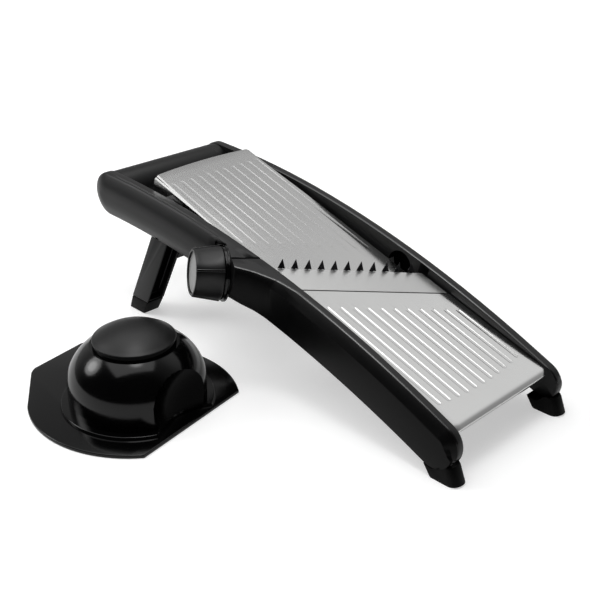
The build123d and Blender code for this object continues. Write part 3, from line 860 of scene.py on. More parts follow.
@dataclass
class Studio:
    """Floor, light and camera.

    Attributes:
        camera_at: Place of the camera.
        azimuth: Direction it looks from, in degrees.
        elevation: Height of that direction, in degrees.
        roll: Tilt of the picture, in degrees.
        lens: Focal length on the standard sensor.
        floor_half: Half the floor's width.
        floor_pale: Colour of the floor.
        floor_rough: Roughness of the floor.
        floor_glow: How white the floor looks by itself, near the object and far away.
        floor_mirrored: Share of that white in reflections.
        floor_fade: Distances at which it starts and ends to rise.
        aim: Point that the lamps face.
        lamps: The lamps.
        back_side: Azimuth, elevation and brightness of the room's paler side.
        front_dark: Brightness of its dark side.
        room_range: Cosines from that direction at which the room is dark and pale.
        back_lobe: Azimuth, elevation and brightness of the bright patch in reflections.
        lobe_reach: Angles from its middle at which the patch ends and is full, in degrees.
    """

    camera_at: tuple[float, float, float] = (517.17, -456.43, 417.35)
    azimuth: float = 45.296
    elevation: float = 26.27
    roll: float = 0.168
    lens: float = 61.16
    floor_half: float = 4000.0
    floor_pale: Colour = (0.66, 0.66, 0.66)
    floor_rough: float = 0.9
    floor_glow: Point = (0.48, 0.9)
    floor_mirrored: float = 0.5
    floor_fade: Point = (350.0, 1500.0)
    aim: tuple[float, float, float] = (-37.0, -78.0, 30.0)
    lamps: tuple[Lamp, ...] = (
        Lamp("overhead", 187.0, 80.6, 1216.0, (1370.0, 1450.0), 1.9, "RECTANGLE"),
        Lamp("overhead_core", 330.0, 87.0, 1190.0, (420.0, 420.0), 7.0),
        Lamp("left_core", 216.0, 33.5, 1500.0, (395.0, 395.0), 5.5),
        Lamp("left_halo", 216.0, 33.5, 1490.0, (692.0, 692.0), 4.5),
    )
    back_side: tuple[float, float, float] = (120.0, 10.0, 0.4)
    front_dark: float = 0.024
    room_range: Point = (-0.3, 0.6)
    back_lobe: tuple[float, float, float] = (88.0, 39.0, 0.44)
    lobe_reach: Point = (34.0, 5.0)

    def build(self) -> None:
        """Make everything that isn't the object."""
        self.floor()
        self.sky()
        for lamp in self.lamps:
            lamp.build(Vector(self.aim))
        self.camera()
        bpy.context.scene.view_settings.view_transform = "Standard"

    def floor(self) -> None:
        """A plain pale floor."""
        mesh = bpy.data.meshes.new("floor")
        bm = bmesh.new()
        bmesh.ops.create_grid(bm, x_segments=1, y_segments=1, size=self.floor_half * MM)
        bm.to_mesh(mesh)
        bm.free()
        mesh.materials.append(self.floor_finish())
        made = bpy.data.objects.new("floor", mesh)
        bpy.context.scene.collection.objects.link(made)

    def floor_finish(self) -> bpy.types.Material:
        """Pale floor that fades to white away from the object, to the camera and in reflections.

        Returns:
            The floor's material.
        """
        graph = Graph("floor_pale")
        graph.shader.inputs["Base Color"].default_value = (*self.floor_pale, 1)
        graph.shader.inputs["Roughness"].default_value = self.floor_rough
        graph.shader.inputs["Specular IOR Level"].default_value = 0.0
        graph.shader.inputs["Emission Color"].default_value = (1, 1, 1, 1)
        far = graph.node("ShaderNodeVectorMath")
        far.operation = "LENGTH"
        graph.link(graph.place(), far.inputs[0])
        near, end = (distance * MM for distance in self.floor_fade)
        low, high = self.floor_glow
        rise = graph.node("ShaderNodeMapRange", From_Min=near, From_Max=end, To_Min=low, To_Max=high)
        graph.link(far.outputs["Value"], rise.inputs["Value"])
        rays = graph.node("ShaderNodeLightPath")
        seen = rays.outputs["Is Camera Ray"]
        for name, share in (("Is Glossy Ray", self.floor_mirrored), ("Is Transmission Ray", 1.0)):
            part = graph.node("ShaderNodeMath")
            part.operation = "MULTIPLY_ADD"
            graph.link(rays.outputs[name], part.inputs[0])
            part.inputs[1].default_value = share
            graph.link(seen, part.inputs[2])
            seen = part.outputs[0]
        glow = graph.node("ShaderNodeMath")
        glow.operation = "MULTIPLY"
        graph.link(rise.outputs["Result"], glow.inputs[0])
        graph.link(seen, glow.inputs[1])
        graph.link(glow.outputs[0], graph.shader.inputs["Emission Strength"])
        return graph.material

    def sky(self) -> None:
        """Dim room, paler behind the object, bright in one patch to reflections, white to the camera."""
        world = bpy.data.worlds.new("studio")
        bpy.context.scene.world = world
        world.use_nodes = True
        nodes, links = world.node_tree.nodes, world.node_tree.links
        nodes.clear()
        coords = nodes.new("ShaderNodeTexCoord")
        rays = nodes.new("ShaderNodeLightPath")

        def glow(towards: tuple[float, float, float], reach: Sequence[float], low: float) -> Socket:
            """Brightness that rises towards one direction.

            Args:
                towards: Azimuth, elevation and brightness of the brightest place.
                reach: Cosines from there at which the rise starts and ends.
                low: Brightness away from there.

            Returns:
                The brightness.
            """
            azimuth, elevation, high = towards
            dot = nodes.new("ShaderNodeVectorMath")
            dot.operation = "DOT_PRODUCT"
            dot.inputs[1].default_value = direction(azimuth, elevation)
            ramp = nodes.new("ShaderNodeMapRange")
            ramp.interpolation_type = "SMOOTHSTEP"
            for name, value in zip(("From Min", "From Max", "To Min", "To Max"), (*reach, low, high)):
                ramp.inputs[name].default_value = value
            links.new(coords.outputs["Generated"], dot.inputs[0])
            links.new(dot.outputs["Value"], ramp.inputs["Value"])
            return ramp.outputs["Result"]

        def joined(first: Socket, second: Socket, operation: str) -> Socket:
            """Make one number of two.

            Args:
                first: First number.
                second: Second number.
                operation: Blender's name of what is done with them.

            Returns:
                The result.
            """
            made = nodes.new("ShaderNodeMath")
            made.operation = operation
            links.new(first, made.inputs[0])
            links.new(second, made.inputs[1])
            return made.outputs[0]

        room = glow(self.back_side, self.room_range, self.front_dark)
        lobe = glow(self.back_lobe, [math.cos(math.radians(angle)) for angle in self.lobe_reach], 0.0)
        seen = joined(rays.outputs["Is Glossy Ray"], lobe, "MULTIPLY")
        clear = joined(rays.outputs["Is Camera Ray"], rays.outputs["Is Transmission Ray"], "MAXIMUM")
        white = joined(clear, joined(room, seen, "ADD"), "MAXIMUM")
        light = nodes.new("ShaderNodeBackground")
        light.inputs["Color"].default_value = (1.0, 1.0, 1.0, 1.0)
        out = nodes.new("ShaderNodeOutputWorld")
        links.new(white, light.inputs["Strength"])
        links.new(light.outputs["Background"], out.inputs["Surface"])

    def camera(self) -> None:
        """The photograph's point of view."""
        turn, lift = math.radians(self.azimuth), math.radians(self.elevation)
        flat = math.cos(lift)
        back = Vector((math.sin(turn) * flat, -math.cos(turn) * flat, math.sin(lift)))
        right = Vector((0, 0, 1)).cross(back).normalized()
        view = placed(Vector(self.camera_at) * MM, right, back.cross(right), back)
        lens = bpy.data.cameras.new("camera")
        lens.lens = self.lens
        made = bpy.data.objects.new("camera", lens)
        made.matrix_world = view @ Matrix.Rotation(math.radians(self.roll), 4, "Z")
        bpy.context.scene.collection.objects.link(made)
        bpy.context.scene.camera = made


@dataclass
class SideRails:
    """Rails and the covers on their outer faces.

    Attributes:
        layout: Planes of the slicer.
        back: Centre and radius of the round back end.
        front: Centre and radius of the round front end.
        back_tilt: Lean of the back end's diameter, in degrees.
        front_tilt: Lean of the front end's diameter, in degrees.
        crest: Highest point of the upper edge's arc.
        belly: A point of the lower edge's arc.
        cover_inset: How far the left lower cover comes out to the rail's outline.
        cover_gap: Gap between the left upper cover and the outline.
        rail_inner: Inner face of a rail, from the slicer's middle.
        wall_out: Outer face of a rail's wall, from the middle.
        rim_edge: Outer line of the left rim, from the middle.
        rim_turn: Places down the slicer and from the middle where that line turns out to the dial.
        rim_fall: Slope of the left shoulder outside that line.
        rim_steps: Place before an edge and fall there, for the rounding of a rim's edge.
        back_fall: Fall of the left wall's top behind its upper cover.
        right_edge: Place from the middle where the right rim's outer slope starts.
        right_sink: Start, end and depth of the right rim's fall towards the front.
        right_drop: How far the right covers stay below the outline.
        right_deep: Depth below the outline that still moves with it, on the right rail.
        panel_edge: Depth of the right panel's border that moves down with its edge.
        over_range: Upward share of the outline's direction where a fall starts and is whole.
        cover_sink: How deep an upper cover sits in its rail.
        cover_end: Height and rise of its front end.
        cover_crowd: Power by which the rows crowd towards the back end.
        cover_lines: Distances from its border at which its surface has a line.
        collar_clear: Radius of the space for the dial's collar.
        boss_full: Full place, end and depth of the boss's fuller underside.
        edge_area: Largest face of the rounding along the boss.
        recess_at: Middle of the round space in the right rail.
        slit_at: Place of the slit down the slicer and from the middle.
        slit_size: Its width, length and depth.
        cut_over: How far a cutter stands clear of the face that it cuts.
        facing: Least share of a face's direction for it to count as facing that way.
        level: The same for a face that is nearly level.
        hair: Tolerance for a place on an edge.
    """

    layout: Layout
    back: tuple[float, float, float] = (-185.4, 107.0, 19.5)
    back_tilt: float = 4.0
    front: tuple[float, float, float] = (182.7, 24.9, 17.2)
    front_tilt: float = 22.0
    crest: Point = (15.4, 99.5)
    belly: Point = (-25.6, 70.5)
    long_steps: int = 96
    end_steps: int = 32
    cover_inset: float = 0.8
    cover_gap: float = 0.35
    rail_inner: float = 57.5
    wall_out: float = 67.5
    rim_edge: float = 64.2
    rim_turn: tuple[Point, ...] = ((-3.0, 85.0), (12.0, 75.0), (29.0, 67.5), (46.0, 64.2))
    rim_fall: float = 1.16
    rim_steps: tuple[Point, ...] = ((-1.4, 0.0), (-0.7, 0.15), (0.0, 0.6))
    back_fall: float = 5.0
    right_edge: float = 64.0
    right_sink: tuple[float, float, float] = (-80.0, 175.0, 2.5)
    cover_sink: float = 2.5
    cover_edge: float = 0.5
    cover_round: float = 0.7
    cover_end: Point = (1.2, 3.0)
    cover_rows: int = 72
    cover_crowd: float = 1.6
    cover_lines: tuple[float, ...] = (0.0, 0.05, 0.18, 0.4, 0.7, 2.0, 4.5, 8.0, 12.0, 17.0)
    swell_width: float = 24.0
    swell_rise: float = 7.2
    collar_clear: float = 22.5
    collar_deep: float = 60.0
    boss_round: float = 0.8
    boss_full: tuple[float, float, float] = (-14.0, 24.0, 4.5)
    edge_area: float = 12.0
    recess_at: Point = (43.5, 75.0)
    recess_r: float = 11.8
    recess_depth: float = 8.0
    right_drop: float = 7.0
    right_deep: float = 1.5
    left_deep: float = 0.3
    panel_edge: float = 3.5
    over_range: Point = (-0.6, 0.2)
    slit_at: Point = (1.0, 57.5)
    slit_size: tuple[float, float, float] = (1.8, 50.0, 5.0)
    cut_over: float = 4.0
    facing: float = 0.3
    level: float = 0.9
    hair: float = 0.05

    def loop(self) -> list[Point]:
        """Outline of a rail seen from the side.

        Returns:
            Its points, from the back end over the crest.
        """
        ends = []
        for (x, z, radius), tilt in ((self.back, self.back_tilt), (self.front, self.front_tilt)):
            up = Vector((math.sin(math.radians(tilt)), math.cos(math.radians(tilt)))) * radius
            ends.append((Vector((x, z)), up))
        (back, back_up), (front, front_up) = ends
        tail = back - Vector((back_up.y, -back_up.x))
        nose = front + Vector((front_up.y, -front_up.x))
        high = [tuple(back + back_up), tuple(front + front_up)]
        low = [tuple(front - front_up), tuple(back - back_up)]
        points = arc(high[0], self.crest, high[1], self.long_steps)[:-1]
        points += arc(high[1], tuple(nose), low[0], self.end_steps)[:-1]
        points += arc(low[0], self.belly, low[1], self.long_steps)[:-1]
        points += arc(low[1], tuple(tail), high[0], self.end_steps)[:-1]
        return points

    def build(self) -> None:
        """Make both rails and their four covers."""
        for side in Side:
            self.rail(side)
            self.upper_cover(side)
        self.boss_cover()
        self.right_panel()

    @staticmethod
    def on_outline(face: Face) -> bool:
        """Whether a face of a lower cover follows the rail's outline over its top and front."""
        return abs(face.normal.y) < 0.02 and face.normal.z > -0.2

    def right_panel(self) -> None:
        """Polished panel on the right rail, lower than the rail's rim."""
        panel, fence = Shape.copy_of("right_lower_cover"), self.loop()
        for vertex in panel.bm.verts:
            gap, way = self.nearest(vertex.co, fence)
            if gap < self.panel_edge:
                vertex.co -= way * self.right_drop * self.over(way)
        panel.dress("right_lower_panel", Body.FRAME, [Finishes.PANEL], ["right_lower_cover"])

    def over(self, way: Vector) -> float:
        """Share of a fall at a place of the outline: whole over the top, none underneath."""
        start, end = self.over_range
        return min(1.0, max(0.0, (way.z - start) / (end - start)))

    @staticmethod
    def nearest(place: Vector, fence: list[Point]) -> tuple[float, Vector]:
        """Distance of a place from the rail's outline, and the way out of the outline there.

        Args:
            place: Place on a rail.
            fence: The rail's outline.

        Returns:
            The distance, and a unit vector in the rail's side plane.
        """
        best, way = math.inf, Vector()
        point = Vector((place.x, place.z))
        for a, b in zip(fence, [*fence[1:], fence[0]]):
            start, run = Vector(a), Vector(b) - Vector(a)
            share = max(0.0, min(1.0, (point - start).dot(run) / run.length_squared))
            gap = (point - start - run * share).length
            if gap < best:
                best, way = gap, Vector((-run.y, 0, run.x)).normalized()
        return best, way

    def rail(self, side: Side) -> None:
        """Upright wall with the rim along its top.

        Args:
            side: Which rail.
        """
        shape = Shape.copy_of(f"{side.word}_rail")
        shape.carve(self.recess() if side is Side.RIGHT else self.slit())
        middle = self.layout.middle_y
        for ahead, _ in self.rim_steps[:-1]:
            shape.slice((0, middle + side.value * (self.rail_inner - ahead), 0), (0, 1, 0))
        if side is Side.RIGHT:
            shape.slice((0, middle + self.right_edge, 0), (0, 1, 0))
        else:
            self.turn_slice(shape)
        self.ease(shape, side, True)
        if side is Side.RIGHT:
            # The inner edge's rounding gets a painted highlight.
            shape.paint(1, self.on_inner_edge)
            # The round space's inner faces get painted shade.
            shape.paint(2, self.in_recess)
            finishes = [Finishes.RAIL, Finishes.SHINE, Finishes.HOLLOW]
        else:
            shape.paint(1, self.on_shoulder)
            # The rounding along the rim's outer line gets a painted highlight.
            shape.paint(2, self.on_line)
            # Faces that look downwards get painted shade.
            shape.paint(3, lambda face: face.normal.z < -self.facing)
            finishes = [Finishes.RAIL, Finishes.PANEL, Finishes.SHINE, Finishes.HOLLOW]
        shape.dress(f"{side.word}_rail_rounded", Body.FRAME, finishes, [f"{side.word}_rail"])

    def turn_slice(self, shape: Shape) -> None:
        """Add the edges of the left rim's rounding, along the rim and out to the dial.

        Args:
            shape: The left rail or its lower cover.
        """
        for ahead, _ in self.rim_steps:
            shape.slice((0, self.layout.middle_y - self.rim_edge - ahead, 0), (0, 1, 0))
            for (x, out), (next_x, next_out) in zip(self.rim_turn, self.rim_turn[1:]):
                normal = (out - next_out, x - next_x, 0)
                shape.slice((x, self.layout.middle_y - out - ahead, 0), normal)

    def fall(self, ahead: float) -> float:
        """Fall of the left rim's border.

        Args:
            ahead: How far a place lies outside the rim's line.

        Returns:
            Fall below the rail's outline.
        """
        for (start, low), (end, high) in zip(self.rim_steps, self.rim_steps[1:]):
            if ahead <= end:
                return low + (high - low) * max(0.0, ahead - start) / (end - start)
        return self.rim_steps[-1][1] + self.rim_fall * ahead

    def edge_line(self, x: float) -> float:
        """How far the left rim's flat top reaches.

        Args:
            x: Place down the slicer.

        Returns:
            Distance from the slicer's middle.
        """
        if x < self.rim_turn[0][0]:
            return math.inf
        for (start, out), (end, ahead) in zip(self.rim_turn, self.rim_turn[1:]):
            if x <= end:
                return out + (ahead - out) * (x - start) / (end - start)
        return self.rim_edge

    def ease(self, shape: Shape, side: Side, rail: bool) -> None:
        """Let the rail's outer border fall away from its rim.

        Args:
            shape: The rail or one of its lower covers.
            side: Which rail.
            rail: Whether the shape is the rail itself.
        """
        fence, middle = self.loop(), self.layout.middle_y
        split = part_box("left_upper_cover")[1].x / MM - 1
        first, last, most = self.right_sink
        deep = self.right_deep if side is Side.RIGHT else self.left_deep
        moves = {}
        for vertex in shape.bm.verts:
            x, out = vertex.co.x, abs(vertex.co.y - middle)
            gap, way = self.nearest(vertex.co, fence)
            if gap > deep:
                continue
            fall = self.fall(min(0.0, self.rail_inner - out))
            if side is Side.RIGHT:
                sink = most * min(1.0, max(0.0, (x - first) / (last - first))) * max(0.0, way.z)
                fall += sink + max(0.0, out - self.right_edge) * self.over(way)
            elif x < split:
                fall += self.back_fall if out > self.wall_out - self.hair and rail else 0.0
            else:
                fall += self.fall(out - self.edge_line(x)) * self.over(way)
            moves[vertex] = way * fall
        for vertex, move in moves.items():
            vertex.co -= move

    def on_inner_edge(self, face: Face) -> bool:
        """Whether a face belongs to the rounding along the right rim's inner edge."""
        out = face.calc_center_median().y - self.layout.middle_y
        return face.normal.z > self.facing and out < self.rail_inner - self.rim_steps[0][0] - self.hair

    def in_recess(self, face: Face) -> bool:
        """Whether a face lies in the round space in the right rail.

        Args:
            face: A face of the right rail.

        Returns:
            True inside the space.
        """
        place = face.calc_center_median()
        apart = math.hypot(place.x - self.recess_at[0], place.z - self.recess_at[1])
        inside = apart < self.recess_r + 0.1 and place.y - self.layout.middle_y < self.wall_out - 0.1
        return inside and not face.normal.z > self.level

    def on_shoulder(self, face: Face) -> bool:
        """Whether a face belongs to the left rail's slope outside its rim.

        Args:
            face: A face of the left rail.

        Returns:
            True on the slope.
        """
        place = face.calc_center_median()
        out = self.layout.middle_y - place.y
        lower = place.x > self.rim_turn[0][0] and out > self.rim_edge
        return lower and face.normal.y < -self.facing and face.normal.z > -0.2

    def on_line(self, face: Face) -> bool:
        """Whether a face belongs to the rounding along the left rim's outer line.

        Args:
            face: A face of the left rail or its lower cover.

        Returns:
            True on the rounding.
        """
        place = face.calc_center_median()
        ahead = self.layout.middle_y - place.y - self.edge_line(place.x)
        return face.normal.z > self.facing and self.rim_steps[0][0] + self.hair < ahead < -0.02

    def recess(self) -> Shape:
        """Round space in the right rail's inner face where the comb passes.

        Returns:
            The space as a solid.
        """
        (x, z), radius = self.recess_at, self.recess_r
        start, end = -self.cut_over, self.recess_depth
        room = Shape.lathe([(0, start), (radius, start), (radius, end), (0, end)], steps=64)
        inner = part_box("right_rail")[0].y / MM
        return room.place(placed((x, inner, z), (1, 0, 0), (0, 0, -1), (0, 1, 0)))

    def slit(self) -> Shape:
        """Narrow gap across the left rim beside the dial.

        Returns:
            The gap as a solid along the blade.
        """
        made = Shape()
        bmesh.ops.create_cube(made.bm, size=1.0)
        made.place(Matrix.Diagonal((*self.slit_size, 1)))
        made.place(Matrix.Translation((0, -self.slit_size[1] / 2 + self.cut_over, 0)))
        return made.place(self.slit_place())

    def slit_place(self) -> Matrix:
        """Frame of the slit, at the top of the left rim.

        Returns:
            Local Y along the blade, Z square up from the plates.
        """
        x, out = self.slit_at
        top = max(z for px, z in self.loop() if abs(px - x) < 4)
        along, up = self.layout.along_blade, self.layout.up
        return placed((x, self.layout.middle_y - out, top), along.cross(up), along, up)

    def upper_cover(self, side: Side) -> None:
        """Soft cushioned panel on the upper half of a rail.

        Args:
            side: Which rail.
        """
        node = f"{side.word}_upper_cover"
        low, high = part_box(node)
        inner = low.y if side is Side.RIGHT else -high.y
        out = inner / MM - side.value * self.layout.middle_y - self.cover_sink
        panel = self.cushion(high.x / MM, self.right_drop if side is Side.RIGHT else self.cover_gap)
        panel.place(self.layout.side(side, out))
        panel.face_outwards()
        if side is Side.LEFT:
            panel.carve(self.collar_room())
        panel.dress(f"{side.word}_upper_grip", Body.FRAME, [Finishes.GRIP], [node], smooth=40)

    def cushion(self, split: float, inset: float) -> Shape:
        """Panel over the rail's outline from its back end to a split, swollen away from its borders.

        Args:
            split: Where the panel ends down the slicer.
            inset: How far it stays inside the outline.

        Returns:
            The panel, closed, standing on the local XY plane.
        """
        border = Shape.outline(self.loop())
        border.swell(border.bm.faces[:], [(inset, 0)])
        outer = max(border.bm.faces, key=lambda face: len(face.verts))
        loop = [(vertex.co.x, vertex.co.y) for vertex in outer.verts]
        border.bm.free()
        count = len(loop)
        tail = min(range(count), key=lambda i: loop[i][0])
        ahead = [loop[(tail + i) % count] for i in range(count // 2)]
        behind = [loop[(tail - i) % count] for i in range(count // 2)]
        lines = [self.trim(line, split) for line in (ahead, behind)]
        upper, lower = sorted(lines, key=lambda line: -line[-1][1])
        panel = Shape()
        rows = []
        for i in range(self.cover_rows + 1):
            share = (i / self.cover_rows) ** self.cover_crowd
            top, bottom = self.at_share(upper, share), self.at_share(lower, share)
            chord = (Vector(bottom) - Vector(top)).length
            widest = self.cover_lines[-1]
            steps = [d / max(chord, 2 * widest) for d in self.cover_lines]
            spots = [*steps, *(1 - step for step in reversed(steps))]
            points = [Vector(top).lerp(Vector(bottom), spot) for spot in spots]
            heights = [self.cover_height(point, split, (upper, lower)) for point in points]
            rows.append([panel.bm.verts.new((*point, z)) for point, z in zip(points, heights)])
        for first, second in zip(rows, rows[1:]):
            for i in range(len(first) - 1):
                panel.bm.faces.new([first[i], first[i + 1], second[i + 1], second[i]])
        panel.merge_doubles()
        rim = [edge for edge in panel.bm.edges if edge.is_boundary]
        skirt = bmesh.ops.extrude_edge_only(panel.bm, edges=rim)["geom"]
        for item in skirt:
            if isinstance(item, bmesh.types.BMVert):
                item.co.z = 0
        open_edges = [edge for edge in panel.bm.edges if edge.is_boundary]
        bmesh.ops.holes_fill(panel.bm, edges=open_edges, sides=0)
        panel.face_outwards()
        return panel

    @staticmethod
    def trim(line: list[Point], split: float) -> list[Point]:
        """First part of a line.

        Args:
            line: Points of the line.
            split: Where it is cut, down the slicer.

        Returns:
            The points up to the cut.
        """
        kept = []
        for here, ahead in zip(line, line[1:]):
            kept.append(here)
            if ahead[0] >= split:
                share = (split - here[0]) / (ahead[0] - here[0])
                kept.append(tuple(Vector(here).lerp(Vector(ahead), share)))
                break
        return kept

    @staticmethod
    def at_share(line: list[Point], share: float) -> Point:
        """Point along a line.

        Args:
            line: Points of the line.
            share: Share of its length.

        Returns:
            The point.
        """
        lengths = [(Vector(b) - Vector(a)).length for a, b in zip(line, line[1:])]
        left = share * sum(lengths)
        for a, b, length in zip(line, line[1:], lengths):
            if left <= length:
                return tuple(Vector(a).lerp(Vector(b), left / length))
            left -= length
        return line[-1]

    @staticmethod
    def reach(point: Vector, line: list[Point]) -> float:
        """Distance of a point from a line.

        Args:
            point: The point.
            line: Points of the line.

        Returns:
            The shortest distance.
        """
        best = math.inf
        for a, b in zip(line, line[1:]):
            start, run = Vector(a), Vector(b) - Vector(a)
            share = (point - start).dot(run) / run.length_squared if run.length else 0.0
            best = min(best, (point - start - run * max(0.0, min(1.0, share))).length)
        return best

    def cover_height(self, point: Vector, split: float, borders: Sequence[list[Point]]) -> float:
        """Height of a cover: a small round edge, then a broad swell, lower at its front end.

        Args:
            point: Place in the rail's side plane.
            split: Where the cover ends down the slicer.
            borders: Its upper and lower border.

        Returns:
            Height above the cover's seat.
        """
        reach = min(self.reach(point, line) for line in borders)
        edge = min(1.0, reach / self.cover_round)
        swell = min(1.0, reach / self.swell_width)
        round_edge = self.cover_round * math.sqrt(1 - (1 - edge) ** 2)
        height = self.cover_edge + round_edge + self.swell_rise * (1 - (1 - swell) ** 2)
        low, rise = self.cover_end
        near = min(1.0, max(0.0, split - point.x) / (2 * rise))
        return min(height, self.cover_sink + low + rise * (1 - (1 - near) ** 2))

    def collar_room(self) -> Shape:
        """Round space for the dial's collar.

        Returns:
            The space as a solid.
        """
        radius, start = self.collar_clear, self.collar_plane()
        end = start + self.collar_deep
        room = Shape.lathe([(0, start), (radius, start), (radius, end), (0, end)])
        return room.place(self.layout.shaft)

    def collar_plane(self) -> float:
        """Place of the collar's seat.

        Returns:
            Its height along the shaft.
        """
        inverse = self.layout.shaft.inverted()
        mesh = frame["nodes"]["dial_collar"].data
        return min((inverse @ (vertex.co / MM)).z for vertex in mesh.vertices)

    def boss_cover(self) -> None:
        """Polished lower panel that swells into the dial's boss; its top is satin like the rim."""
        panel = Shape.copy_of("left_lower_cover")
        panel.shift(self.on_outline, lambda place: self.cover_inset)
        self.turn_slice(panel)
        self.ease(panel, Side.LEFT, False)
        panel.shift(lambda face: max(face.normal.y, face.normal.z) < -self.facing, self.fuller)
        inner = max(vertex.co.y for vertex in panel.bm.verts) - self.hair
        panel.bevel(
            self.boss_round,
            angle=35,
            where=lambda edge: any(vertex.co.y < inner for vertex in edge.verts),
        )
        panel.carve(self.slit())
        panel.paint(1, lambda face: face.normal.z > self.level)
        # The rounding along the boss's top edge gets a painted highlight.
        panel.paint(2, self.on_boss_edge)
        # Faces that look downwards get painted shade.
        panel.paint(3, lambda face: face.normal.z < -0.12)
        finishes = [Finishes.PANEL, Finishes.RAIL, Finishes.SHINE, Finishes.HOLLOW]
        panel.dress("left_lower_panel", Body.FRAME, finishes, ["left_lower_cover"])

    def on_boss_edge(self, face: Face) -> bool:
        """Whether a face is the rounding along the edge of the boss's top.

        Args:
            face: A face of the left lower cover.

        Returns:
            True on the rounding.
        """
        place = face.calc_center_median()
        beside = place.x < self.rim_turn[0][0] and 0.15 < face.normal.z <= self.level
        return self.on_line(face) or beside and face.calc_area() < self.edge_area

    def fuller(self, place: Vector) -> float:
        """How far the boss's underside comes out, most beside the collar.

        Args:
            place: A place on the underside.

        Returns:
            The distance.
        """
        start, end, most = self.boss_full
        share = min(1.0, max(0.0, (end - place.x) / (end - start)))
        return most * share * share


@dataclass
class Handle:
    """Round grip between the rails."""

    edge_round: float = 0.8
    seam_at: float = 9.0
    seam_width: float = 0.9
    seam_depth: float = 0.5

    def build(self) -> None:
        """Turn the grip with its end seam."""
        low, high = (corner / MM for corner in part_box("handle_grip"))
        radius, length = (high.z - low.z) / 2, high.y - low.y
        bore = (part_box("handle_rod")[1].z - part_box("handle_rod")[0].z) / MM / 2
        seam = length - self.seam_at
        profile = rounded(
            [
                (bore, 0, 0),
                (radius, 0, self.edge_round),
                (radius, seam, 0.3),
                (radius - self.seam_depth, seam + self.seam_width / 2, 0.2),
                (radius, seam + self.seam_width, 0.3),
                (radius, length, self.edge_round),
                (bore, length, 0),
            ]
        )
        grip = Shape.lathe(profile + [profile[0]])
        middle = (low + high) / 2
        grip.place(placed((middle.x, low.y, middle.z), (1, 0, 0), (0, 0, -1), (0, 1, 0)))
        grip.dress("handle_barrel", Body.FRAME, [Finishes.GRIP], ["handle_grip"])


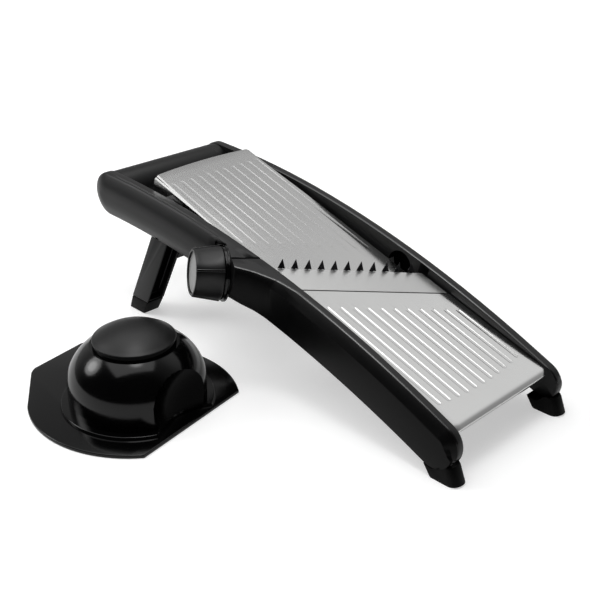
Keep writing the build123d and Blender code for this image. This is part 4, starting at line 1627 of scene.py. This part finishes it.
@dataclass
class Plates:
    """The two grooved steel plates and the blade between them.

    Places down the slope are from the cutting edge's middle, and heights from the lower plate's face.

    Attributes:
        layout: Planes of the slicer.
        steel: Thickness of the sheet.
        upper_level: Height of the upper plate's face.
        lower_start: Upper end of the lower plate.
        front: Front of the lower plate's lip.
        fold_radius: Radius of the lip's broad bend.
        fold_turn: Turn of that bend, in degrees.
        fold_tight: Radius of the tight bend after it.
        fold_depth: How far the lip reaches down.
        upper_top: Upper end of the upper plate.
        upper_bow: Bow of that end.
        crease_bow: Bow of the crease behind it.
        lip_drop: Fall of the end's middle.
        mouth: Gap between the upper plate and the cutting edge.
        flange_depth: Depth of the upper plate's side flanges at the top.
        strip_wide: Width of the slanted strip along each side at the top.
        edge_round: Rounding of the plates' sides.
        edge_steps: Shares of that rounding at which a side has a line.
        corner_round: How far the lip's corners draw in.
        groove_wall: Width of a groove's sloping wall.
        groove_soft: Width of the rounding along the wall's edges.
        groove_ends: Shares of half a groove's width at which its round ends have a line.
        upper_depth: Depth of the upper grooves at the left and at the right.
        groove_lower_end: Lower end of the outermost lower grooves.
        groove_end_bow: How much further the middle ones reach.
    """

    layout: Layout
    steel: float = 1.0
    lower_half: float = 56.6
    upper_half: float = 53.4
    upper_level: float = -7.0
    lower_start: float = 25.4
    front: float = 162.0
    fold_radius: float = 8.0
    fold_turn: float = 48.0
    fold_tight: float = 1.2
    fold_steps: int = 8
    fold_depth: float = 5.2
    upper_top: float = -178.3
    upper_bow: float = 3.0
    crease_bow: float = 2.6
    lip_drop: float = 0.25
    mouth: float = 7.5
    flange_depth: float = 9.0
    flange_length: float = 62.0
    strip_wide: float = 3.0
    strip_length: float = 75.0
    edge_round: float = 0.6
    edge_steps: tuple[float, ...] = (0.0, 0.1, 0.35, 1.0)
    corner_round: float = 4.0
    groove_count: int = 11
    groove_pitch: float = 9.4
    groove_width: float = 4.0
    groove_wall: float = 1.1
    groove_soft: float = 0.2
    groove_ends: tuple[float, ...] = (0.0, 0.2, 0.45, 0.7, 1.0, 1.4)
    lower_depth: float = 0.35
    upper_depth: Point = (0.045, 0.12)
    groove_lower_start: float = 43.2
    groove_lower_end: float = 139.4
    groove_end_bow: float = 3.8
    groove_upper_start: float = -163.0
    groove_upper_end: float = -38.6

    def across(self, distance: float, half: float) -> float:
        """Slope coordinate of the line `distance` down from the cutting edge, at width `half`."""
        return (distance + half * math.sin(self.layout.skew)) / math.cos(self.layout.skew)

    def build(self) -> None:
        """Make both plates and the blade."""
        self.lower_plate()
        self.upper_plate()
        blade = Shape.copy_of("blade")
        blade.dress("blade_ground", Body.FRAME, [Finishes.EDGE], ["blade"], smooth=5)

    def columns(self) -> list[float]:
        """Places across a plate that follow its grooves closely.

        Returns:
            The places, from left to right.
        """
        half, wall, soft = self.groove_width / 2, self.groove_wall, self.groove_soft
        steps = [half + soft, half, half - soft, half - wall + soft, half - wall]
        offsets = [*(-step for step in steps), *reversed(steps)]
        spots = []
        for i in range(self.groove_count):
            middle = (i - (self.groove_count - 1) / 2) * self.groove_pitch
            spots += [middle + offset for offset in offsets]
        return spots

    def rows(self, top: float, bottom: float, start: float, end: float) -> list[float]:
        """Places down a column that follow the groove's round ends closely.

        Args:
            top: Upper end of the plate.
            bottom: Lower end of the plate.
            start: Upper end of the groove.
            end: Lower end of the groove.

        Returns:
            The places, from the top down.
        """
        half = self.groove_width / 2
        head = [start + half * step for step in self.groove_ends]
        tail = [end - half * step for step in reversed(self.groove_ends)]
        return [top, (top + start) / 2, *head, (start + end) / 2, *tail, (end + bottom) / 2, bottom]

    def dip(self, u: float, y: float, ends: Callable[[float], Point], depth: float) -> float:
        """Height of a plate's face at a point.

        Args:
            u: Place down the slope.
            y: Place across.
            ends: Ends of the groove at a place across.
            depth: Depth of the grooves.

        Returns:
            The height, zero away from the grooves.
        """
        half, last = self.groove_width / 2, self.groove_count - 1
        row = min(max(round(y / self.groove_pitch + last / 2), 0), last)
        middle = (row - last / 2) * self.groove_pitch
        start, end = ends(middle)
        beyond = max(start + half - u, u - end + half, 0.0)
        share = (half - math.hypot(beyond, y - middle)) / self.groove_wall
        return -depth * min(1.0, max(0.0, share))

    def skin(self, lines: list[list[Vector]]) -> Shape:
        """Sheet through lines of points, thickened downwards.

        Args:
            lines: Lines side by side, with as many points each.

        Returns:
            The closed sheet.
        """
        sheet = Shape()
        verts = [[sheet.bm.verts.new(point) for point in line] for line in lines]
        for first, second in zip(verts, verts[1:]):
            for i in range(len(first) - 1):
                sheet.bm.faces.new([first[i], first[i + 1], second[i + 1], second[i]])
        sheet.bm.normal_update()
        if sum(face.normal.z for face in sheet.bm.faces) < 0:
            bmesh.ops.reverse_faces(sheet.bm, faces=sheet.bm.faces[:])
        bmesh.ops.solidify(sheet.bm, geom=sheet.bm.faces[:], thickness=self.steel)
        sheet.merge_doubles()
        sheet.face_outwards()
        return sheet

    def fold(self) -> list[tuple[float, float, float]]:
        """Front fold: a broad bend, then a tight one, then straight down.

        Returns:
            Turn in radians, run and drop along the fold.
        """
        points = []
        along = down = turn = 0.0
        bends = ((self.fold_turn, self.fold_radius), (90 - self.fold_turn, self.fold_tight))
        for bend, radius in bends:
            step = math.radians(bend) / self.fold_steps
            for _ in range(self.fold_steps):
                along += radius * (math.sin(turn + step) - math.sin(turn))
                down += radius * (math.cos(turn) - math.cos(turn + step))
                turn += step
                points.append((turn, along, down))
        return [*points, (turn, along, self.fold_depth)]

    def lower_plate(self) -> None:
        """Plate below the blade, folded down at its front."""
        half = self.lower_half
        flat = self.front - max(along for _, along, _ in self.fold())
        reach = (self.groove_count - 1) / 2 * self.groove_pitch

        def ends(y: float) -> Point:
            """Ends of the groove at a place across.

            Args:
                y: Place across.

            Returns:
                Its upper and lower end.
            """
            share = min(1.0, abs(y) / reach)
            end = self.groove_lower_end + self.groove_end_bow * (1 - share**2)
            return self.across(self.groove_lower_start, y), end

        lines = []
        edge = [-half + self.edge_round * step for step in self.edge_steps]
        spots = [*edge, *self.columns(), *(-y for y in reversed(edge))]
        for y in spots:
            lost = max(0.0, abs(y) - half + self.edge_round) / self.edge_round
            drop = self.edge_round * (1 - math.sqrt(1 - lost**2))
            column = self.rows(self.across(self.lower_start, y), flat, *ends(y))
            line = [Vector((u, y, self.dip(u, y, ends, self.lower_depth) - drop)) for u in column]
            for turn, along, down in self.fold():
                inward = y * (1 - self.corner_round / half * (1 - math.cos(turn)))
                u, z = flat + along - drop * math.sin(turn), -down - drop * math.cos(turn)
                line.append(Vector((u, inward, z)))
            lines.append(line)
        plate = self.skin(lines)
        plate.place(self.layout.deck)
        plate.dress("lower_plate_pressed", Body.FRAME, [Finishes.LOWER], ["lower_plate"], smooth=25)

    def upper_plate(self) -> None:
        """Plate above the blade, with a bowed lip at its top and tapering flanges at its sides."""
        half, top = self.upper_half, self.upper_top

        def ends(y: float) -> Point:
            """Ends of the groove at a place across."""
            return self.groove_upper_start, self.across(self.groove_upper_end, y)

        def fold(u: float) -> float:
            """Width of the slanted strip along a side."""
            share = min(1.0, max(0.0, (u - top) / self.strip_length))
            return self.strip_wide + (self.edge_round - self.strip_wide) * share

        def flange(u: float) -> float:
            """Depth of a side flange."""
            share = min(1.0, max(0.0, (u - top) / self.flange_length))
            return self.flange_depth + (self.strip_wide - self.flange_depth) * share

        # The three outer lines of each side are the flange's foot, its fold and the strip's inner edge.
        lines = []
        for y in [-half, -half - 1, -half - 2, *self.columns(), half + 2, half + 1, half]:
            side, kind = math.copysign(1, y), round(abs(y) - half)
            across = max(-half, min(half, y))
            bow = 1 - (across / half) ** 2
            first, last = self.upper_depth
            depth = first + (last - first) * (across + half) / (2 * half)
            bottom = self.across(-self.mouth, across)
            column = self.rows(top - self.upper_bow * bow, bottom, *ends(across))
            column.insert(1, top + self.crease_bow * bow)
            line = []
            for u in column:
                lip = -self.lip_drop * bow if u < top - self.upper_bow * bow + 0.01 else 0.0
                if abs(y) < half - 0.01:
                    line.append(Vector((u, y, self.dip(u, y, ends, depth) + lip)))
                elif kind == 0:
                    line.append(Vector((u, side * half, -flange(u))))
                elif kind == 1:
                    line.append(Vector((u, side * half, -fold(u) * 0.9)))
                else:
                    line.append(Vector((u, side * (half - fold(u)), lip)))
            lines.append(line)
        plate = self.skin(lines)
        plate.place(self.layout.deck @ Matrix.Translation((0, 0, self.upper_level)))
        plate.dress("upper_plate_pressed", Body.CARRIAGE, [Finishes.UPPER], ["upper_plate"], smooth=25)


@dataclass
class Comb:
    """Julienne tines, their bar and its grip."""

    edge_ground: float = 0.22
    edge_area: float = 4.0
    grip_round: float = 1.0

    def build(self) -> None:
        """Break the edges of the tines and the grip, and give the bar its finish."""
        teeth = Shape.copy_of("comb_tines")
        teeth.bevel(self.edge_ground, segments=1, angle=20)
        # Small faces, the broken edges, get bright steel; the broad faces keep the near-black steel that
        # paints their dark reflection.
        teeth.paint(1, lambda face: face.calc_area() < self.edge_area)
        teeth.dress("comb_teeth", Body.COMB, [Finishes.TINE, Finishes.EDGE], ["comb_tines"], smooth=10)
        finish_node("comb_bar", Finishes.BAR)
        grip = Shape.copy_of("comb_grip").bevel(self.grip_round)
        grip.dress("comb_pull", Body.COMB, [Finishes.GLOSS], ["comb_grip"])


@dataclass
class Dial:
    """Thickness dial on the left: ridged knob, grey face, stepped collar.

    Attributes:
        layout: Planes of the slicer.
        collar_start: Place of the collar's seat along the shaft.
        collar_step: How much smaller its outer step is.
        collar_low: Thickness of its larger step, at its edge and at the smaller one.
        gap: Gap between the collar and the knob.
        base_r: Radius of the knob at the collar.
        face_end_r: Radius of the knob at its face.
        face_recess: How deep the face lies.
        ridge_turn: Place of the first one round the knob, in degrees.
        scallop: Depth of the hollows between the ridges.
    """

    layout: Layout
    collar_start: float
    collar_r: float = 22.2
    collar_thick: float = 4.0
    collar_bore: float = 4.5
    collar_step: float = 1.0
    collar_low: Point = (1.7, 1.9)
    gap: float = 0.3
    base_r: float = 21.3
    face_end_r: float = 18.2
    length: float = 22.0
    bore_r: float = 3.0
    side_rows: int = 10
    face_r: float = 16.2
    face_thick: float = 1.6
    face_recess: float = 1.5
    ridge_count: int = 4
    ridge_width: float = 2.0
    ridge_rise: float = 0.7
    ridge_round: float = 0.4
    ridge_turn: float = 44.0
    scallop: float = 1.3

    def build(self) -> None:
        """Turn the collar, the knob and the face."""
        self.collar()
        self.knob()
        self.face()

    def collar(self) -> None:
        """Ring on the boss, in two steps."""
        start, end = self.collar_start, self.collar_start + self.collar_thick
        step = self.collar_r - self.collar_step
        at_edge, at_step = (start + thick for thick in self.collar_low)
        profile = rounded(
            [
                (self.collar_bore, start, 0),
                (self.collar_r, start, 0.2),
                (self.collar_r, at_edge, 0.4),
                (step, at_step, 0.2),
                (step, end, 0.6),
                (self.collar_bore, end, 0),
            ],
            steps=4,
        )
        ring = Shape.lathe(profile + [profile[0]])
        ring.place(self.layout.shaft)
        ring.dress("dial_seat", Body.FRAME, [Finishes.GLOSS], ["dial_collar"])

    def knob(self) -> None:
        """Tapered knob with straight ridges and a recess for its face."""
        start = self.collar_start + self.collar_thick + self.gap
        end = start + self.length
        bed = end - self.face_recess - self.face_thick
        profile = rounded(
            [
                (self.bore_r, start, 0),
                (self.base_r, start, 0.8),
                (self.face_end_r, end, 0.7),
                (self.face_r, end, 0.3),
                (self.face_r, bed, 0),
                (self.bore_r, bed, 0),
            ],
            steps=4,
        )
        side = next(i for i, (_, height) in enumerate(profile) if height > start + 2)
        (base, low), (tip, high) = profile[side - 1], profile[side]
        rows = self.side_rows
        profile[side:side] = [
            (base + (tip - base) * i / rows, low + (high - low) * i / rows) for i in range(1, rows)
        ]
        knob = Shape.lathe(profile + [profile[0]])
        for vertex in knob.bm.verts:
            self.hollow(vertex, low, high)
        for i in range(self.ridge_count):
            turn = math.radians(self.ridge_turn + 360 * i / self.ridge_count)
            knob.join(self.ridge(start, end, turn))

        def on_ridge(face: Face) -> bool:
            """Whether a face stands above the knob's tapered side.

            Args:
                face: A face of the knob, before it is placed.

            Returns:
                True on a ridge.
            """
            place = face.calc_center_median()
            side_r = self.base_r + (self.face_end_r - self.base_r) * (place.z - start) / self.length
            return place.xy.length > side_r + self.ridge_rise / 3

        # The ridges get a painted highlight.
        knob.paint(1, on_ridge)
        knob.place(self.layout.shaft)
        knob.dress("dial_grip", Body.DIAL, [Finishes.KNOB, Finishes.SHINE], ["dial_knob"])

    def hollow(self, vertex: bmesh.types.BMVert, low: float, high: float) -> None:
        """Draw a point of the knob's side in, most midway between two ridges and midway along.

        Args:
            vertex: The point.
            low: Lower end of the side.
            high: Upper end of the side.
        """
        share = (vertex.co.z - low) / (high - low)
        radius = math.hypot(vertex.co.x, vertex.co.y)
        if not 0 < share < 1 or radius < self.face_end_r - 0.5:
            return
        turn = math.atan2(vertex.co.y, vertex.co.x) - math.radians(self.ridge_turn)
        between = (1 - math.cos(turn * self.ridge_count)) / 2
        depth = self.scallop * between * math.sin(math.pi * share) ** 0.6
        vertex.co.xy *= 1 - depth / radius

    def ridge(self, start: float, end: float, turn: float) -> Shape:
        """One ridge along the knob's side.

        Args:
            start: Its end at the collar.
            end: Its end at the face.
            turn: Place round the knob, in radians.

        Returns:
            The ridge, sunk into the knob.
        """
        made = Shape()
        bmesh.ops.create_cube(made.bm, size=1.0)
        for vertex in made.bm.verts:
            outer = vertex.co.z > 0
            radius = self.face_end_r if outer else self.base_r
            vertex.co.x = radius + math.copysign(self.ridge_rise, vertex.co.x)
            vertex.co.y *= self.ridge_width
            vertex.co.z = end - 0.2 if outer else start + 0.2
        made.bevel(self.ridge_round)
        made.place(Matrix.Rotation(turn, 4, "Z"))
        return made

    def face(self) -> None:
        """Light grey disc, slightly crowned, with a fine raised border."""
        start = self.collar_start + self.collar_thick + self.gap
        end = start + self.length - self.face_recess
        profile = rounded(
            [
                (0, end - self.face_thick, 0),
                (self.face_r, end - self.face_thick, 0),
                (self.face_r, end, 0.3),
                (self.face_r - 0.8, end, 0.2),
                (self.face_r - 1.1, end - 0.35, 0.2),
                (0, end - 0.1, 0),
            ],
            steps=3,
        )
        disc = Shape.lathe(profile + [profile[0]])
        disc.place(self.layout.shaft)
        disc.dress("dial_disc", Body.DIAL, [Finishes.DIAL], ["dial_face"])


@dataclass
class Stand:
    """Leaning rear legs with rubber tips."""

    leg_round: float = 1.2
    tip_round: float = 1.4
    tie_round: float = 1.0
    channel_wall: float = 2.2
    channel_depth: float = 7.0

    def build(self) -> None:
        """Round the legs and their tips, and hollow the legs' front faces."""
        for side in Side:
            leg = Shape.copy_of(f"{side.word}_leg")
            front = leg.largest(lambda face: face.normal.x > 0.5)
            way = front.normal.copy()
            leg.swell([front], [(self.channel_wall, 0)])
            floor = leg.largest(lambda face: face.normal.dot(way) > 0.99)
            leg.raise_faces([floor], -way * self.channel_depth)
            bmesh.ops.delete(leg.bm, geom=[floor], context="FACES_ONLY")
            leg.bevel(self.leg_round)
            # The front faces, the channel's floor and the ring round it, get painted shade.
            leg.paint(1, lambda face: face.normal.dot(way) > 0.9)
            finishes = [Finishes.LEG, Finishes.HOLLOW]
            leg.dress(f"{side.word}_leg_rounded", Body.STAND, finishes, [f"{side.word}_leg"])
            tip = Shape.copy_of(f"{side.word}_leg_tip").bevel(self.tip_round)
            tip.dress(f"{side.word}_leg_boot", Body.STAND, [Finishes.RUBBER], [f"{side.word}_leg_tip"])
        tie = Shape.copy_of("leg_crossbar").bevel(self.tie_round)
        tie.dress("leg_tie", Body.STAND, [Finishes.LEG], ["leg_crossbar"])


@dataclass
class Feet:
    """Rubber boots at the front ends of the rails.

    Attributes:
        blend: Places down the slicer between which the front's rounded corners grow.
    """

    corner_round: float = 6.5
    corner_steps: int = 8
    edge_round: float = 0.9
    blend: Point = (182.0, 199.0)

    def build(self) -> None:
        """Make both boots."""
        for side in Side:
            boot = self.boot(f"{side.word}_foot")
            boot.bevel(self.edge_round, angle=40)
            boot.dress(f"{side.word}_boot", Body.FRAME, [Finishes.RUBBER], [f"{side.word}_foot"])

    def boot(self, node: str) -> Shape:
        """Slices of the boot's side outline, whose front falls back towards both flanks.

        Args:
            node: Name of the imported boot.

        Returns:
            The closed boot.
        """
        plain = Shape.copy_of(node)
        flank = plain.largest(lambda face: abs(face.normal.y) > 0.9)
        outline = [(vertex.co.x, vertex.co.z) for vertex in flank.verts]
        plain.bm.free()
        low, high = (corner.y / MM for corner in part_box(node))
        reach = self.corner_round
        count = self.corner_steps
        near = [reach * (1 - math.cos(math.pi / 2 * i / count)) for i in range(count + 1)]
        slices = [*(low + step for step in near), *(high - step for step in reversed(near))]
        start, end = self.blend
        made = Shape()
        rings = []
        for y in slices:
            inside = reach - min(reach, y - low, high - y) if min(y - low, high - y) < reach else 0.0
            lost = reach - math.sqrt(reach**2 - inside**2)
            ring = []
            for x, z in outline:
                share = min(1.0, max(0.0, (x - start) / (end - start)))
                ring.append(made.bm.verts.new((x - lost * share, y, z)))
            rings.append(ring)
        for first, second in zip(rings, rings[1:]):
            for i, corner in enumerate(first):
                after = (i + 1) % len(first)
                made.bm.faces.new([corner, first[after], second[after], second[i]])
        for ring in (rings[0], rings[-1]):
            made.bm.faces.new(ring)
        made.merge_doubles()
        made.face_outwards()
        return made


@dataclass
class FoodHolder:
    """Domed food holder with its brim, finger hollows and palm cap.

    Places are from the dome's middle, before the holder is turned.

    Attributes:
        turn: Turn of the holder on the table, in degrees.
        near: Corner of the brim at its straight near side.
        side: A point of the brim's side arc.
        bend: Where the side arc ends.
        cut: Where the left side's arc meets the cut corner.
        corner: A point of the cut corner.
        far_left: Left end of the straight far side.
        far_right: Right end of the straight far side.
        back: A point of the arc from the bend to the far side.
        waist: Height up to which it is straight.
        rise: Height of its curve from there.
        top: Height at which it is cut off.
        scoop_out: Distance of a finger hollow's middle from the dome's.
        scoop_turn: Turn of the line through both hollows, in degrees.
        place: Frame of the holder.
    """

    turn: float = 10.0
    brim_thick: float = 3.0
    near: Point = (56.0, 53.8)
    side: Point = (-9.0, 78.0)
    bend: Point = (-60.0, 59.0)
    cut: Point = (-94.0, -25.5)
    corner: Point = (-97.8, -21.0)
    far_left: Point = (-100.0, -16.0)
    far_right: Point = (-100.0, 34.0)
    back: Point = (-91.0, 50.5)
    ring_r: float = 58.5
    ring_z: float = 5.5
    dome_r: float = 53.0
    waist: float = 20.0
    rise: float = 41.7
    top: float = 52.0
    wall: float = 2.8
    scoop_r: float = 49.5
    scoop_out: float = 89.0
    scoop_z: float = 21.0
    scoop_turn: float = -5.0
    bush_r: float = 7.55
    cap_r: float = 31.6
    cap_gap: float = 0.3
    cap_rim: float = 4.6
    cap_edge: float = 1.0
    cap_crown: float = 10.0
    brim_round: float = 0.8
    place: Matrix = field(init=False)

    def __post_init__(self) -> None:
        """Find the dome's middle from its palm cap."""
        low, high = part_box("pusher_cap")
        middle = (low + high) / 2 / MM
        turn = Matrix.Rotation(math.radians(self.turn), 4, "Z")
        self.place = Matrix.Translation((middle.x, middle.y, 0)) @ turn

    def build(self) -> None:
        """Make the body, the cap and the coil inside."""
        self.body()
        self.cap()
        self.spring()

    def spring(self) -> None:
        """Coil between the holder and the pusher's plate, given a mesh of its own."""
        node = "pusher_spring"
        coil = Shape.copy_of(node).dress("pusher_coil", Body.HOLDER, [Finishes.BAR], [node])
        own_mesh(coil)

    def dome_radius(self, z: float) -> float:
        """Outer radius of the dome at a height above its waist."""
        return self.dome_r * math.sqrt(1 - ((z - self.waist) / self.rise) ** 2)

    def dome(self, shrink: float, floor: float) -> Shape:
        """The dome as a solid.

        Args:
            shrink: How much thinner than the outside.
            floor: Height of its lower end.

        Returns:
            The turned solid.
        """
        steps, height = 28, self.top - self.waist
        side = []
        for i in range(steps + 1):
            z = self.waist + height * i / steps
            side.append((self.dome_radius(z) - shrink, z - shrink * (z - self.waist) / height))
        profile = [(0, floor), (self.dome_r - shrink, floor), *side, (0, self.top - shrink)]
        return Shape.lathe(profile, steps=128)

    def scoops(self, radius: float) -> list[Shape]:
        """Balls that cut the two finger hollows.

        Args:
            radius: Radius of a ball.

        Returns:
            Both balls.
        """
        made = []
        for sign in (-1, 1):
            ball = Shape()
            bmesh.ops.create_uvsphere(ball.bm, u_segments=96, v_segments=64, radius=radius)
            turn = Matrix.Rotation(math.radians(self.scoop_turn), 4, "Z")
            ball.place(turn @ Matrix.Translation((sign * self.scoop_out, 0, self.scoop_z)))
            made.append(ball)
        return made

    def in_scoop(self, face: Face) -> bool:
        """Whether a face lies in a finger hollow.

        Args:
            face: A face of the dome, before it is placed.

        Returns:
            True in a hollow.
        """
        turn = math.radians(self.scoop_turn)
        middle = Vector((math.cos(turn), math.sin(turn), 0)) * self.scoop_out
        place = face.calc_center_median() - Vector((0, 0, self.scoop_z))
        return min((place - middle).length, (place + middle).length) < self.scoop_r + 0.2

    def brim_loop(self) -> list[Point]:
        """Outline of the brim.

        Returns:
            Its points in order.
        """
        right = arc(self.near, self.side, self.bend, 40)
        back = arc(self.bend, self.back, self.far_right, 16)
        corner = arc(self.far_left, self.corner, self.cut, 8)
        left = [(x, -y) for x, y in reversed(right)]
        return [*right, *back[1:], *corner, *left]

    def body(self) -> None:
        """Dome, ring and brim in one moulding."""
        over = self.top + 5
        bore = Shape.lathe([(0, 0), (self.bush_r, 0), (self.bush_r, over), (0, over)], steps=48)
        shell = self.dome(0, 0.0)
        shell.carve(*self.scoops(self.scoop_r))
        shell.carve(self.cavity(), bore)
        # The finger hollows get painted shade.
        shell.paint(1, self.in_scoop)
        shell.place(self.place)
        shell.dress("holder_dome", Body.HOLDER, [Finishes.GLOSS, Finishes.SCOOP], ["holder_body"])
        brim = Shape.outline(self.brim_loop())
        brim.raise_faces(brim.bm.faces[:], (0, 0, self.brim_thick))
        brim.face_outwards()
        brim.bevel(self.brim_round, angle=50)
        brim.carve(self.cavity())
        foot, radius, top = self.brim_thick - 1, self.ring_r, self.ring_z
        profile = rounded([(0, foot, 0), (radius + 1.5, foot, 0), (radius, top, 0.8), (0, top, 0)])
        ring = Shape.lathe(profile, steps=128)
        ring.carve(*self.scoops(self.scoop_r))
        ring.carve(self.cavity())
        brim.join(ring)
        brim.place(self.place)
        brim.dress("holder_brim", Body.HOLDER, [Finishes.GLOSS])

    def cavity(self) -> Shape:
        """Hollow under the dome.

        Returns:
            The hollow as a solid that reaches below the brim.
        """
        hollow = self.dome(self.wall, -1.0)
        hollow.carve(*self.scoops(self.scoop_r + self.wall))
        return hollow

    def cap(self) -> None:
        """Soft palm cap, crowned, with a rounded rim."""
        bottom = self.top + self.cap_gap
        rim = bottom + self.cap_rim
        reach_r = self.cap_r - self.cap_edge
        crown_r = (reach_r**2 + self.cap_crown**2) / (2 * self.cap_crown)
        centre = rim + self.cap_crown - crown_r
        reach = math.asin(reach_r / crown_r)
        angles = [reach * (1 - i / 24) for i in range(25)]
        crown = [(crown_r * math.sin(a), centre + crown_r * math.cos(a)) for a in angles]
        wall = [
            (0, bottom, 0),
            (self.cap_r, bottom, 0.6),
            (self.cap_r, rim - 0.3, self.cap_edge),
            (*crown[1], 0),
        ]
        cap = Shape.lathe(rounded(wall) + crown[2:], steps=128)
        # The cap's upright wall gets painted shade, darker than its crown.
        cap.paint(1, lambda face: abs(face.normal.z) < 0.2)
        cap.place(self.place)
        cap.dress("palm_cap", Body.PUSHER, [Finishes.GRIP, Finishes.SCOOP], ["pusher_cap"])


INNER_NODES: dict[str, Finish] = {
    "handle_rod": Finishes.BAR,
    "rear_brace": Finishes.RAIL,
    "front_brace": Finishes.RAIL,
    "lower_deck": Finishes.RAIL,
    "blade_studs": Finishes.FASTENER,
    "blade_nuts": Finishes.FASTENER,
    "left_bearing": Finishes.BEARING,
    "right_bearing": Finishes.BEARING,
    "bearing_screws": Finishes.FASTENER,
    "plate_tray": Finishes.RAIL,
    "guide_posts": Finishes.BAR,
    "dial_shaft": Finishes.BAR,
    "dial_screw": Finishes.FASTENER,
    "left_cam": Finishes.BEARING,
    "right_cam": Finishes.BEARING,
    "leg_pins": Finishes.BAR,
    "leg_stops": Finishes.BEARING,
    "stem_bush": Finishes.BEARING,
    "pusher_stem": Finishes.BEARING,
    "pusher_plate": Finishes.BEARING,
    "pusher_prongs": Finishes.EDGE,
    "stem_screw": Finishes.FASTENER,
}


def main() -> None:
    """Build the studio and every sub-assembly."""
    logging.basicConfig(level=logging.INFO, format="%(name)s: %(message)s")
    layout = Layout()
    rails = SideRails(layout)
    Studio().build()
    rails.build()
    Handle().build()
    Plates(layout).build()
    Comb().build()
    Dial(layout, rails.collar_plane()).build()
    Stand().build()
    Feet().build()
    FoodHolder().build()
    for node, finish in INNER_NODES.items():
        finish_node(node, finish)


if __name__ == "__main__":
    main()
